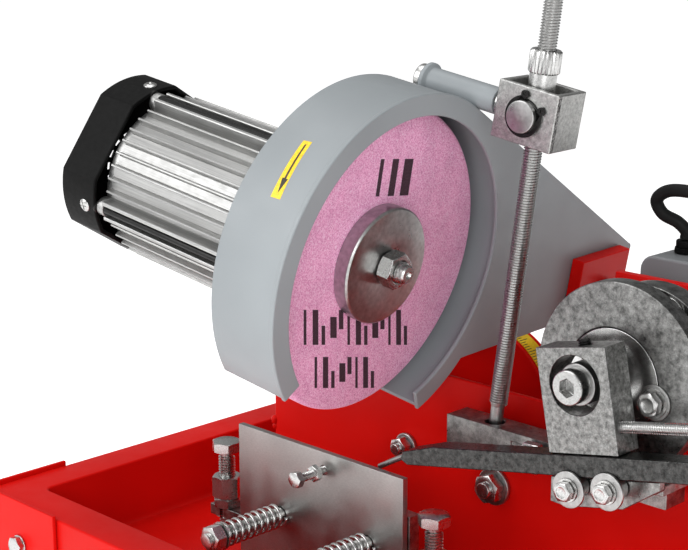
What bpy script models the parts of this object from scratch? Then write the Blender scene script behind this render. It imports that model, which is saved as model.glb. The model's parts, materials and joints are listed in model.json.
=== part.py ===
"""Automatic grinder for band saw teeth: a tilting grinding head over a blade clamp, a crank-driven
feed finger and a cam that lifts the head, all standing in a red tray on four angle-iron legs.

Every length below is in millimetres and is turned into metres as a mesh is made. Positions on the
machine are measured from the grinding datum, the centre of the wheel's front face: X runs along the
clamp, Y towards the back and Z up. The finished model stands on Z = 0, centred on its tray.
"""

from math import acos, atan2, cos, degrees, hypot, pi, radians, sin, sqrt

import bmesh
import bpy
from mathutils import Vector

MM = 0.001
GAP = 0.3  # running gap kept between two pieces that touch

# Driving dimensions
WHEEL_R = 100.0
WHEEL_WIDTH = 20.0
WHEEL_FACE = 3.5  # the flat face stands this far in front of the datum, past the rounded edge
HEAD_TILT = 10.0  # wheel axle dips this many degrees to the right
HEAD_TURN = 4.0  # and is turned this many degrees about the vertical
TRAY_LEFT, TRAY_RIGHT = -288.0, 332.0
TRAY_FRONT, TRAY_BACK = -110.0, 410.0
RIM_TOP, RIM_WIDTH, TRAY_DEPTH = -200.0, 30.0, 52.0
SHEET = 3.0
FLOOR_TOP = RIM_TOP - TRAY_DEPTH + SHEET
LEG_FOOT = -350.0
CAM_X, CAM_Z = 168.0, -46.0
FEED_RISE = 11.4  # degrees the feed bar climbs to the right
LEVER_X, LEVER_Y, LEVER_Z = 95.0, 58.0, -118.0
TILT_X, TILT_Z, TILT_R = -37.0, -139.0, 62.0
DISC_FRONT, DISC_BACK = 150.0, 172.0
PANEL_Y, PANEL_TOP, PANEL_LEFT, PANEL_RIGHT = 78.0, -94.0, -180.0, 270.0

# On the head, lengths run along the axle (a), across it (b) and up from it (c)
GUARD_R, GUARD_HOLE_R = 112.7, 99.3
GUARD_FRONT, GUARD_BACK = 24.9, -27.0
ARM_TIP_B, ARM_TIP_C, ARM_LOW_C = 285.0, -29.0, -77.0
PIVOT_B, PIVOT_C = 235.0, -58.0
YOKE_A, YOKE_B, YOKE_C = 65.0, 60.5, 105.7
ROD_LEAN = 2.68
GUARD_OPEN_FROM, GUARD_OPEN_TO = -68.0, 215.0  # the drum runs between these angles
MOTOR_TURN = 60.0  # the tie bolts stand at 45 degrees to this
MOTOR_R, FIN_R, TIE_BOLT_R = 53.0, 58.0, 59.0
COVER_R, COVER_HALF = 63.0, 56.5  # a round cover with four flats
MOTOR_FRONT, MOTOR_REAR = -30.0, -183.0
COVER_FRONT, COVER_REAR = -190.0, -223.0
TUBE_R = 8.5

# Legs and their bolts
LEG_FRONT_FLANGE, LEG_SIDE_FLANGE, LEG_TOP = 90.0, 74.0, RIM_TOP + SHEET
LEG_BOLT_INSET, LEG_BOLT_Z = 45.0, -230.0

# Blade clamp: each stud has its X and Z, each rest its X
JAW_LEFT, JAW_RIGHT, JAW_TOP = -124.0, 32.0, -135.5
JAW_FRONT, JAW_BACK = -8.0, -3.5
STUDS = (("left", -82.0, -191.0), ("right", 1.0, -188.0))
RESTS = (("left", -150.0), ("right", 49.0))
REST_Y, REST_TOP = 3.0, -157.0
SET_SCREW_AT = (-39.5, -148.0)

# Feed bar and block, along the bar and square to it from the centre of the block's hole
BAR_TOP, BAR_HIGH, BAR_FRONT, BAR_BACK = -40.4, 12.4, -8.0, 8.0
BLOCK_HALF, BLOCK_TOP, HOLE_R = 24.5, 22.0, 17.5
FEED_X, FEED_Z = 160.5, -46.0
ROLLERS = (("left", 161.6, -107.0), ("right", 188.1, -101.3))
ROLLER_R = 6.7
ROD_FOOT_X = 51.8
LEAD_R = 4.2
GEARBOX_TOP, GLAND_AT = -2.0, (122.0, 162.0)

# Finishes: colour, roughness, metallic
LOOKS = {
    "grey_paint": ((0.39, 0.45, 0.48), 0.38, 0.0),
    "red_paint": ((0.62, 0.010, 0.008), 0.35, 0.0),
    "zinc": ((0.50, 0.51, 0.50), 0.38, 0.9),
    "bright_steel": ((0.62, 0.62, 0.60), 0.25, 1.0),
    "aluminium": ((0.72, 0.72, 0.71), 0.35, 0.9),
    "black_plastic": ((0.012, 0.012, 0.013), 0.45, 0.0),
    "grit": ((0.72, 0.30, 0.50), 0.9, 0.0),
    "yellow": ((0.75, 0.55, 0.02), 0.5, 0.0),
    "motor_grey": ((0.30, 0.31, 0.32), 0.5, 0.0),
}


def clear_scene():
    for item in list(bpy.data.objects):
        bpy.data.objects.remove(item)


def frame(name, parent, place, turn_x=0.0, turn_y=0.0, turn_z=0.0):
    """An empty that carries the pieces of one moving group, turned about Z last."""
    empty = bpy.data.objects.new(name, None)
    bpy.context.collection.objects.link(empty)
    empty.parent = parent
    empty.location = Vector(place) * MM
    empty.rotation_euler = (radians(turn_x), radians(turn_y), radians(turn_z))
    return empty


def look(finish):
    """The finish's material, a plain painted or metal surface, made once."""
    found = bpy.data.materials.get(finish)
    if found:
        return found
    colour, roughness, metallic = LOOKS[finish]
    made = bpy.data.materials.new(finish)
    made.use_nodes = True
    shader = made.node_tree.nodes["Principled BSDF"]
    shader.inputs["Base Color"].default_value = (*colour, 1.0)
    shader.inputs["Roughness"].default_value = roughness
    shader.inputs["Metallic"].default_value = metallic
    return made


# ---- shapes: each returns a closed mesh ----


def on_axis(u, v, along, axis):
    """(u, v) are the two coordinates across the axis, in X, Y, Z order."""
    return {"X": (along, u, v), "Y": (u, along, v), "Z": (u, v, along)}[axis]


def mesh_from(points, faces):
    shape = bmesh.new()
    corners = [shape.verts.new(Vector(point) * MM) for point in points]
    for face in faces:
        shape.faces.new([corners[i] for i in face])
    bmesh.ops.recalc_face_normals(shape, faces=shape.faces)
    mesh = bpy.data.meshes.new("shape")
    shape.to_mesh(mesh)
    shape.free()
    return mesh


def prism(outline, start, end, axis):
    """The outline, a loop of (u, v), drawn out from start to end along the axis."""
    count = len(outline)
    points = [on_axis(u, v, along, axis) for along in (start, end) for u, v in outline]
    sides = [(i, (i + 1) % count, count + (i + 1) % count, count + i) for i in range(count)]
    return mesh_from(points, [tuple(range(count)), tuple(range(count, 2 * count))] + sides)


def block(low, high):
    (x0, y0, z0), (x1, y1, z1) = low, high
    return prism([(x0, y0), (x1, y0), (x1, y1), (x0, y1)], z0, z1, "Z")


def turned(profile, axis, centre=(0.0, 0.0), sides=24):
    """The profile, a loop of (radius, along), turned about the axis through centre. A radius of 0
    at both ends closes the shape on its axis."""
    solid = profile[0][0] == 0.0
    rings = profile[1:-1] if solid else profile
    points, faces = [], []
    for radius, along in rings:
        for step in range(sides):
            angle = 2 * pi * step / sides
            u, v = centre[0] + radius * cos(angle), centre[1] + radius * sin(angle)
            points.append(on_axis(u, v, along, axis))
    for ring in range(len(rings) if not solid else len(rings) - 1):
        near, far = ring * sides, (ring + 1) % len(rings) * sides
        for step in range(sides):
            after = (step + 1) % sides
            faces.append((near + step, near + after, far + after, far + step))
    if solid:
        last = (len(rings) - 1) * sides
        faces.append(tuple(range(sides)))
        faces.append(tuple(range(last, last + sides)))
    return mesh_from(points, faces)


def rod(radius, start, end, axis, centre=(0.0, 0.0), sides=16):
    return turned([(0.0, start), (radius, start), (radius, end), (0.0, end)], axis, centre, sides)


def hexagon(flats, start, end, axis, centre=(0.0, 0.0)):
    """A nut or a bolt's head, flats being its width across them."""
    profile = [(0.0, start), (flats / sqrt(3), start), (flats / sqrt(3), end), (0.0, end)]
    return turned(profile, axis, centre, 6)


def sleeve(inner, outer, start, end, axis, centre=(0.0, 0.0), sides=24):
    return turned([(outer, start), (outer, end), (inner, end), (inner, start)], axis, centre, sides)


def arc(radius, first, last, steps, centre=(0.0, 0.0)):
    """Points on an arc, with both ends, from first to last degrees."""
    angles = [radians(first + (last - first) * i / steps) for i in range(steps + 1)]
    return [(centre[0] + radius * cos(a), centre[1] + radius * sin(a)) for a in angles]


def add_object(name, mesh, parent):
    made = bpy.data.objects.new(name, mesh)
    bpy.context.collection.objects.link(made)
    made.parent = parent
    return made


def boolean(target, mesh, operation, parent=None):
    """Joins or cuts a shape, laid out in the target's own frame unless another parent is given."""
    tool = add_object(target.name + "_tool", mesh, parent or target.parent)
    tool.hide_render = True
    tool.display_type = "WIRE"
    step = target.modifiers.new(operation.lower(), "BOOLEAN")
    step.operation = operation
    step.object = tool
    step.solver = "EXACT"


def piece(name, parent, finish, add, cut=(), sharp=35.0):
    """One closed body: the shapes in add joined together, less the shapes in cut."""
    made = add_object(name, add[0], parent)
    made.data.materials.append(look(finish))
    made.data.shade_smooth()
    made.data.set_sharp_from_angle(angle=radians(sharp))
    for shape in add[1:]:
        boolean(made, shape, "UNION")
    for shape in cut:
        boolean(made, shape, "DIFFERENCE")
    return made


# ---- tray, legs and body ----


def make_tray(machine):
    back_edge, bottom = TRAY_BACK, RIM_TOP - TRAY_DEPTH
    shell = block((TRAY_LEFT, TRAY_FRONT, bottom), (TRAY_RIGHT, back_edge, RIM_TOP))
    basin = block(
        (TRAY_LEFT + RIM_WIDTH, TRAY_FRONT + RIM_WIDTH, FLOOR_TOP),
        (TRAY_RIGHT - RIM_WIDTH, back_edge - RIM_WIDTH, RIM_TOP + 10),
    )
    cuts = [basin]
    low, high = bottom - 10, RIM_TOP - SHEET
    left, right = TRAY_LEFT + SHEET, TRAY_RIGHT - SHEET
    front, back = TRAY_FRONT + SHEET, back_edge - SHEET
    channel = RIM_WIDTH - 2 * SHEET
    cuts.append(block((left, front, low), (right, front + channel, high)))
    cuts.append(block((left, back - channel, low), (right, back, high)))
    cuts.append(block((left, front + 1, low), (left + channel, back - 1, high)))
    cuts.append(block((right - channel, front + 1, low), (right, back - 1, high)))
    for x, y in leg_bolt_places():
        cuts.append(rod(4.5, y - 8, y + 8, "Y", (x, LEG_BOLT_Z), 16))
    piece("tray", machine, "red_paint", [shell], cuts)


def corner_signs():
    return [("front_left", -1, -1), ("front_right", 1, -1), ("rear_left", -1, 1), ("rear_right", 1, 1)]


def tray_corner(side_x, side_y):
    return (TRAY_LEFT if side_x < 0 else TRAY_RIGHT, TRAY_FRONT if side_y < 0 else TRAY_BACK)


def leg_bolt_places():
    places = []
    for _, side_x, side_y in corner_signs():
        x, y = tray_corner(side_x, side_y)
        places.append((x - side_x * LEG_BOLT_INSET, y))
    return places


def make_legs(machine):
    for (name, side_x, side_y), (bolt_x, _) in zip(corner_signs(), leg_bolt_places()):
        x, y = tray_corner(side_x, side_y)
        outer = (x + side_x * (SHEET + GAP), y + side_y * (SHEET + GAP))
        inner = (x + side_x * GAP, y + side_y * GAP)
        end_x = outer[0] - side_x * LEG_FRONT_FLANGE
        end_y = outer[1] - side_y * LEG_SIDE_FLANGE
        outline = [outer, (end_x, outer[1]), (end_x, inner[1])]
        outline += [inner, (inner[0], end_y), (outer[0], end_y)]
        hole = rod(4.5, y - 12, y + 12, "Y", (bolt_x, LEG_BOLT_Z), 16)
        piece("leg_" + name, machine, "red_paint", [prism(outline, LEG_FOOT, LEG_TOP, "Z")], [hole])
        head = outer[1] + side_y * GAP
        inside = y - side_y * (SHEET + GAP)
        shapes = [
            rod(4.0, min(head, inside) - 1, max(head, inside) + 1, "Y", (bolt_x, LEG_BOLT_Z), 16),
            hexagon(13.0, *sorted((head, head + side_y * 5.5)), "Y", (bolt_x, LEG_BOLT_Z)),
            hexagon(13.0, *sorted((inside, inside - side_y * 6.5)), "Y", (bolt_x, LEG_BOLT_Z)),
        ]
        piece("leg_bolt_" + name, machine, "zinc", shapes)


def make_main_body(machine):
    front, plate = PANEL_Y, 4.0
    foot = FLOOR_TOP + GAP
    panel = block((PANEL_LEFT, front, foot), (PANEL_RIGHT, front + plate, PANEL_TOP))
    left = block((PANEL_LEFT, front + 1, foot), (PANEL_LEFT + plate, front + 70, PANEL_TOP))
    right = block((PANEL_RIGHT - plate, front + 1, foot), (PANEL_RIGHT, front + 70, PANEL_TOP))
    base = block((PANEL_LEFT + 1, front + 1, foot), (PANEL_RIGHT - 1, front + 69, foot + plate))
    centre = (TILT_X, TILT_Z)
    spindle = rod(10.0, front + 2, DISC_BACK + 16, "Y", centre)
    collar = rod(18.0, front + 2, DISC_FRONT - GAP, "Y", centre)
    nut = hexagon(30.0, DISC_BACK + GAP, DISC_BACK + 12, "Y", centre)
    piece("main_body", machine, "red_paint", [panel, left, right, base, collar, spindle, nut])


def make_motor_bracket(machine):
    foot = FLOOR_TOP + GAP
    plate = block((100.0, 116.0, foot + 5), (262.0, 122.0, -10.0))
    shelf = block((100.0, 116.0, foot + 5), (262.0, 146.0, foot + 10))
    spigot_hole = rod(24.6, 100, 140, "Y", (CAM_X, CAM_Z))
    piece("motor_bracket", machine, "red_paint", [plate, shelf], [spigot_hole])


# ---- blade clamp ----


def make_clamp(machine):
    foot = FLOOR_TOP + GAP
    plate = block((JAW_LEFT, -1.8, foot), (JAW_RIGHT, 8.0, -163.0))
    base = block((JAW_LEFT, -1.8, foot), (JAW_RIGHT, 40.0, foot + 6))
    lugs = block((RESTS[0][1] - 12, -3.2, -214.0), (RESTS[1][1] + 12, 10.0, -206.0))
    shapes = [plate, base, lugs]
    cuts = []
    for _, x in RESTS:
        shapes.append(hexagon(19.0, -206.5, -199.0, "Z", (x, REST_Y)))
        shapes.append(hexagon(19.0, -199.5, -183.0, "Z", (x, REST_Y)))
        cuts.append(rod(6.4, -230, -170, "Z", (x, REST_Y)))
    for _, x, z in STUDS:
        cuts.append(rod(5.3, -10, 20, "Y", (x, z)))
    piece("rear_jaw", machine, "zinc", shapes, cuts)
    for side, x, z in STUDS:
        stud = [rod(5.0, -77, 9.5, "Y", (x, z)), hexagon(17.0, -72.5, -63, "Y", (x, z))]
        stud.append(rod(8.5, -64, -62, "Y", (x, z)))
        stud.append(hexagon(17.0, 8.3, 15, "Y", (x, z)))
        piece("clamp_stud_" + side, machine, "bright_steel", stud)
    for side, x in RESTS:
        bolt_frame = frame("rest_travel_" + side, machine, (x, REST_Y, REST_TOP))
        bolt = [hexagon(19.0, -7.5, 0, "Z"), rod(5.9, -68, -6, "Z")]
        piece("blade_rest_" + side, bolt_frame, "bright_steel", bolt)
    make_front_jaw(machine)


def make_front_jaw(machine):
    travel = frame("front_jaw_travel", machine, (0, JAW_FRONT, 0))
    width = JAW_BACK - JAW_FRONT
    plate = block((JAW_LEFT, 0, FLOOR_TOP + 2), (JAW_RIGHT, width, JAW_TOP))
    cuts = [rod(5.6, -5, 10, "Y", (x, z)) for _, x, z in STUDS]
    cuts.append(rod(3.4, -5, 10, "Y", SET_SCREW_AT, 16))
    piece("front_jaw", travel, "zinc", [plate], cuts)
    screw = [rod(3.0, -24, 3.5, "Y", SET_SCREW_AT, 16)]
    screw.append(hexagon(11.0, -28, -22, "Y", SET_SCREW_AT))
    screw.append(hexagon(10.0, -6.5, -GAP, "Y", SET_SCREW_AT))
    piece("jaw_set_screw", travel, "bright_steel", screw)
    for side, x, z in STUDS:
        coil = coil_tube(7.6, 1.05, -53.0, -1.5, 7.0)
        spring_frame = frame("spring_seat_" + side, machine, (x, JAW_FRONT, z))
        piece("spring_" + side, spring_frame, "bright_steel", [coil], sharp=180.0)


def coil_tube(radius, wire, start, end, turns, steps=10, sides=5):
    """A helical spring along Y with capped ends."""
    total = int(turns * steps)
    points, faces = [], []
    for i in range(total + 1):
        angle = 2 * pi * i / steps
        along = start + (end - start) * i / total
        for side in range(sides):
            swing = 2 * pi * side / sides
            reach = radius + wire * cos(swing)
            points.append((reach * cos(angle), along + wire * sin(swing), reach * sin(angle)))
    for i in range(total):
        for side in range(sides):
            after = (side + 1) % sides
            a, b = i * sides + side, i * sides + after
            faces.append((a, b, b + sides, a + sides))
    faces.append(tuple(range(sides)))
    faces.append(tuple(range(total * sides, (total + 1) * sides)))
    return mesh_from(points, faces)


# ---- feed bar, rollers, lever ----


def make_feed(machine):
    """Along the bar is X and square to it is Z, from the centre of the block's hole."""
    feed = frame("feed_travel", machine, (FEED_X, 0, FEED_Z), turn_y=-FEED_RISE)
    low = BAR_TOP - BAR_HIGH
    profile = [(-138.5, low), (-144.0, low + 3.5), (-141.0, low + 8.5), (-115.0, BAR_TOP)]
    profile += [(95.0, BAR_TOP), (95.0, low)]
    piece("feed_bar", feed, "zinc", [prism(profile, BAR_FRONT, BAR_BACK, "Y")])
    body = block((-BLOCK_HALF, -6.0, BAR_TOP + GAP), (BLOCK_HALF, 14.0, BLOCK_TOP))
    cuts = [rod(HOLE_R, -20, 30, "Y", (0, 0), 32), rod(4.3, 15, 30, "Z", (4.0, 4.0), 16)]
    adjuster_at = (1.0, -24.5)
    cuts.append(rod(3.5, 14, 30, "X", adjuster_at, 16))
    piece("feed_block", feed, "zinc", [body], cuts)
    bush = [rod(12.5, -3.5, 12.0, "Y", sides=32), rod(10.4, -13.0, -3.0, "Y", sides=32)]
    socket = hexagon(9.0, -20.0, -7.0, "Y")
    piece("stroke_screw", feed, "bright_steel", bush, [socket])
    grub = [rod(4.0, 18.0, 26.0, "Z", (4.0, 4.0), 16)]
    grub_socket = hexagon(4.0, 23.0, 32.0, "Z", (4.0, 4.0))
    piece("block_grub_screw", feed, "black_plastic", grub, [grub_socket])
    make_finger(feed)
    adjuster = frame("feed_adjuster_axis", feed, (BLOCK_HALF, *adjuster_at))
    knob = [rod(3.2, -8.0, 100.0, "X", sides=16), rod(14.0, 88.0, 102.0, "X", sides=24)]
    knob.append(rod(8.0, 80.0, 89.0, "X"))
    piece("feed_adjuster", adjuster, "bright_steel", knob)


def make_finger(feed):
    """A slim pin that runs on from the bar's nose and dips to the tooth."""
    dip = frame("finger_seat", feed, (-144.8, 0, BAR_TOP - 8.0), turn_y=-18.6)
    profile = [(0.0, -28.5), (1.2, -28.5), (1.8, -27.5), (2.0, 0.0), (0.0, 0.0)]
    piece("feed_finger", dip, "bright_steel", [turned(profile, "X", sides=12)])


def make_rollers(machine):
    outline = [(140.0, -123.0), (150.0, -123.6), (191.0, -114.5)]
    outline += [(214.5, -97.5), (214.5, -92.0), (140.0, -107.5)]
    plate = prism(outline, 2.4, 8.0, "Y")
    arm = block((204.0, 7.0, -102.0), (214.0, PANEL_Y - GAP, -96.0))
    holes = [rod(4.3, -5, 20, "Y", (x, z), 20) for _, x, z in ROLLERS]
    piece("roller_bracket", machine, "zinc", [plate, arm], holes)
    for side, x, z in ROLLERS:
        axis = frame("roller_axis_" + side, machine, (x, 0, z))
        flange, bore = (-10.2, -8.4), 4.4
        profile = [(11.0, flange[0]), (11.0, flange[1]), (ROLLER_R, flange[1]), (ROLLER_R, 1.6)]
        profile += [(bore, 1.6), (bore, flange[0])]
        piece("roller_" + side, axis, "bright_steel", [turned(profile, "Y")])
        axle = [rod(4.0, -17.5, 12.0, "Y", (x, z), 20), hexagon(11.0, -16.0, -10.5, "Y", (x, z))]
        axle.append(hexagon(11.0, 8.3, 13.0, "Y", (x, z)))
        piece("roller_axle_" + side, machine, "bright_steel", axle)


def make_lever(machine):
    axis = frame("lever_axis", machine, (LEVER_X, LEVER_Y, LEVER_Z))
    bar = block((-76.0, -10, -10.0), (95.0, 10, 10.0))
    pad = rod(9.0, -9.5, 9.5, "Y", (CAM_X - LEVER_X, 6.4), 24)
    foot_x = ROD_FOOT_X - LEVER_X
    cuts = [rod(6.3, -20, 20, "Y"), rod(6.6, -4, 30, "Z", (foot_x, 0), 20)]
    for across in (-5.0, 5.0):
        for along in (-68.0, -58.0):
            cuts.append(rod(1.6, 8.8, 20, "Z", (along, across), 10))
    piece("lift_lever", axis, "zinc", [bar, pad], cuts)
    pin = [rod(6.0, 44.5, PANEL_Y - GAP, "Y", (LEVER_X, LEVER_Z))]
    pin.append(hexagon(19.0, 39.5, 45.5, "Y", (LEVER_X, LEVER_Z)))
    piece("lever_pivot_pin", machine, "bright_steel", pin)


# ---- camshaft and its gear motor ----


def make_camshaft(machine):
    axis = frame("cam_axis", machine, (CAM_X, 0, CAM_Z))
    piece("camshaft", axis, "bright_steel", [rod(10.0, 27.0, 126.0, "Y")])
    face, hub, bolt_at = 24.3, (-3.0, -3.0), (27.0, -9.0)
    bolt_hole = [rod(4.4, face - 5, face + 9.5, "Y", bolt_at, 20)]
    pocket = rod(31.8, face - 5, face + 8.7, "Y", hub, 36)
    disc_cuts = [pocket, rod(10.3, face, face + 20, "Y")]
    disc = [rod(56.0, face, face + 12.0, "Y", sides=44)]
    piece("crank_disc", axis, "zinc", disc, disc_cuts + bolt_hole)
    plate = [rod(31.3, face, face + 8.4, "Y", hub, 36)]
    piece("stroke_plate", axis, "zinc", plate, [rod(10.3, 26.5, 40.0, "Y")] + bolt_hole)
    bolt = [rod(4.0, face - 2, face + 7.5, "Y", bolt_at, 20)]
    bolt.append(rod(9.0, face - 2, face - GAP, "Y", bolt_at))
    bolt.append(hexagon(13.0, face - 8.6, face - 1.9, "Y", bolt_at))
    piece("disc_bolt", axis, "bright_steel", bolt)
    cam = rod(49.0, 48.5, 64.5, "Y", (3.0, 1.6), 44)
    piece("lift_cam", axis, "zinc", [cam], [rod(10.3, 40, 70, "Y")])


def make_gear_motor(machine):
    left, right, low, high, corner = 102.0, 234.0, -90.0, GEARBOX_TOP, 10.0
    loop = arc(corner, 0, 90, 5, (right - corner, high - corner))
    loop += arc(corner, 90, 180, 5, (left + corner, high - corner))
    loop += arc(corner, 180, 270, 5, (left + corner, low + corner))
    loop += arc(corner, 270, 360, 5, (right - corner, low + corner))
    gearbox = prism(loop, 140.0, 200.0, "Y")
    body = rod(44.0, 199.0, 262.0, "Y", (CAM_X, CAM_Z), 32)
    spigot = rod(24.0, 116.5, 141.0, "Y", (CAM_X, CAM_Z))
    bore = rod(10.6, 100.0, 130.0, "Y", (CAM_X, CAM_Z))
    neck = block((180.0, 156.0, -4.0), (210.0, 168.0, 12.0))
    box = block((178.0, 142.0, 8.0), (222.0, 182.0, 50.0))
    piece("gear_motor", machine, "motor_grey", [gearbox, body, spigot, neck, box], [bore])
    x, y = GLAND_AT
    gland = [rod(6.5, GEARBOX_TOP + GAP, GEARBOX_TOP + 9.0, "Z", (x, y))]
    gland.append(hexagon(14.0, GEARBOX_TOP + GAP, GEARBOX_TOP + 4.0, "Z", (x, y)))
    piece("lead_gland", machine, "motor_grey", gland)
    return x, y, GEARBOX_TOP + 9.0 + GAP


def make_lead(machine, start):
    """The motor lead, from its gland up and over in one loop into the side of the terminal box."""
    x, y, z = start
    route = [
        (x, y, z + 0.6),
        (x, y, z + 5),
        (x - 5, y - 3, z + 11),
        (x - 14, y - 7, z + 16),
        (x - 17, y - 10, z + 25),
        (x - 8, y - 11, z + 32),
        (x + 8, y - 11, z + 33.5),
        (x + 25, y - 8, z + 31),
        (x + 40, y - 6, z + 28),
        (176.5, y - 6, z + 27.5),
    ]
    curve = bpy.data.curves.new("gear_motor_lead", "CURVE")
    curve.dimensions = "3D"
    curve.bevel_depth = LEAD_R * MM
    curve.bevel_resolution = 2
    curve.use_fill_caps = True
    points = smooth_route(route, 28)
    spline = curve.splines.new("POLY")
    spline.points.add(len(points) - 1)
    for knot, point in zip(spline.points, points):
        knot.co = (*(Vector(point) * MM), 1.0)
    lead = bpy.data.objects.new("gear_motor_lead", curve)
    bpy.context.collection.objects.link(lead)
    lead.parent = machine
    curve.materials.append(look("black_plastic"))


def smooth_route(route, count):
    """Evenly counted points on the Catmull-Rom curve through the route's own points."""
    ends = [Vector(point) for point in route]
    ends = [2 * ends[0] - ends[1]] + ends + [2 * ends[-1] - ends[-2]]
    spans = len(route) - 1
    points = []
    for i in range(count + 1):
        where = min(i * spans / count, spans - 1e-6)
        a, b, c, d = ends[int(where) : int(where) + 4]
        t = where - int(where)
        square = (2 * a - 5 * b + 4 * c - d) * t**2
        cube = (3 * b - a - 3 * c + d) * t**3
        points.append(0.5 * (2 * b + (c - a) * t + square + cube))
    return points


# ---- tilting carrier ----


def make_tilt_carrier(machine):
    axis = frame("tilt_axis", machine, (TILT_X, 0, TILT_Z))
    disc = rod(TILT_R, DISC_FRONT, DISC_BACK, "Y", sides=44)
    beam = block((-60.0, DISC_BACK - 4, -12.0), (36.0, 264.0, 8.0))
    head = (-TILT_X, -5.7, -TILT_Z + 1.3)
    bracket = frame("fork_frame", axis, head, turn_y=HEAD_TILT, turn_z=HEAD_TURN)
    carrier = piece("tilt_carrier", axis, "red_paint", [disc, beam], [rod(10.4, 140, 190, "Y")])
    for a0, a1 in ((GUARD_FRONT + GAP + 0.2, 35.2), (-52.0, -42.0)):
        fork = block((a0, 202.0, -146.0), (a1, 265.0, -27.0))
        boolean(carrier, fork, "UNION", bracket)
    shaft_hole = rod(8.4, -80, 80, "X", (PIVOT_B, PIVOT_C))
    boolean(carrier, shaft_hole, "DIFFERENCE", bracket)
    nut_room = rod(20.0, DISC_BACK, DISC_BACK + 22, "Y", sides=24)
    boolean(carrier, nut_room, "DIFFERENCE")
    band = arc(TILT_R + GAP, 25, 155, 26) + arc(TILT_R + GAP + 0.6, 155, 25, 26)
    strip = prism(band, DISC_FRONT + 3, DISC_FRONT + 17, "Y")
    piece("tilt_scale", axis, "yellow", [strip])
    return bracket


def make_pivot_shaft(bracket):
    centre = (PIVOT_B, PIVOT_C)
    shaft = [rod(8.0, -58.0, 41.0, "X", centre), hexagon(24.0, 35.6, 44.0, "X", centre)]
    shaft.append(hexagon(24.0, -60.0, -52.4, "X", centre))
    piece("pivot_shaft", bracket, "bright_steel", shaft)


# ---- grinding head: axle along X, so on_axis gives (across, up) ----


def make_guard(head):
    slope = atan2(ARM_TIP_C, ARM_TIP_B)
    reach = hypot(ARM_TIP_B, ARM_TIP_C)
    tangent = degrees(slope) + degrees(atan2(sqrt(reach**2 - GUARD_R**2), GUARD_R))
    lower = degrees(atan2(ARM_LOW_C, sqrt(GUARD_R**2 - ARM_LOW_C**2)))
    outline = arc(GUARD_R + 0.6, GUARD_OPEN_TO, tangent, 26)
    outline += [(ARM_TIP_B, ARM_TIP_C), (ARM_TIP_B - 14, ARM_LOW_C + 6), (ARM_TIP_B - 30, ARM_LOW_C)]
    outline += arc(GUARD_R + 0.6, lower, GUARD_OPEN_FROM, 6)
    outline += arc(GUARD_HOLE_R, GUARD_OPEN_FROM, GUARD_OPEN_TO, 48)
    front = prism(outline, GUARD_FRONT - SHEET, GUARD_FRONT, "X")
    first, last = GUARD_OPEN_FROM + 0.7, GUARD_OPEN_TO - 0.7
    band = arc(GUARD_R, first, last, 48) + arc(GUARD_R - 2.6, last, first, 48)
    wall = prism(band, GUARD_BACK + 1, GUARD_FRONT - 1, "X")
    back = prism(arc(GUARD_R - 0.8, first + 0.5, last - 0.5, 48), GUARD_BACK, GUARD_BACK + SHEET, "X")
    bush = rod(13.0, -41.7, GUARD_FRONT - 0.5, "X", (PIVOT_B, PIVOT_C))
    web_outline = [(95.0, -20.0), (255.0, -42.0), (255.0, -74.0), (84.0, -74.0)]
    rear_web = prism(web_outline, GUARD_BACK + 0.4, GUARD_BACK + 2.6, "X")
    cuts = [rod(22.0, -40, 0, "X"), rod(8.4, -60, 40, "X", (PIVOT_B, PIVOT_C))]
    piece("wheel_guard", head, "grey_paint", [front, wall, back, bush, rear_web], cuts)
    centre = (YOKE_B, YOKE_C)
    profile = [(TUBE_R, 36.0), (6.4, 36.0), (6.4, -21.0), (11.0, -21.0), (11.0, -18.2), (TUBE_R, -16.5)]
    drum_room = rod(GUARD_R + 1.0, -60, 60, "X", sides=96)
    piece("guard_tube", head, "grey_paint", [turned(profile, "X", centre)], [drum_room])


def around(points, turn):
    """A loop of (radius, degrees) points, turned by turn degrees, as (u, v)."""
    return [(r * cos(radians(a + turn)), r * sin(radians(a + turn))) for r, a in points]


def motor_outline():
    """A round body with eight fins in each quarter and a slotted boss for each tie bolt between them."""
    quarter = []
    for fin in range(8):
        middle = 13.0 + 9.15 * fin
        quarter += [(MOTOR_R, middle - 1.3), (FIN_R, middle - 0.6)]
        quarter += [(FIN_R, middle + 0.6), (MOTOR_R, middle + 1.3)]
    quarter += [(MOTOR_R, 82.8), (62.0, 83.6), (62.0, 85.4), (55.5, 85.6), (55.5, 94.4), (62.0, 94.6)]
    quarter += [(62.0, 96.4), (MOTOR_R, 97.2)]
    loop = []
    for step in range(4):
        loop += around(quarter, MOTOR_TURN + 45 + 90 * step)
    return loop


def flatted_circle(radius, half, steps):
    """A circle with four flats, each half away from the middle."""
    reach = degrees(acos(half / radius))
    loop = []
    for step in range(4):
        loop += arc(radius, reach + 90 * step, 90 * (step + 1) - reach, steps)
    swing = radians(MOTOR_TURN)
    return [(u * cos(swing) - v * sin(swing), u * sin(swing) + v * cos(swing)) for u, v in loop]


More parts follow.
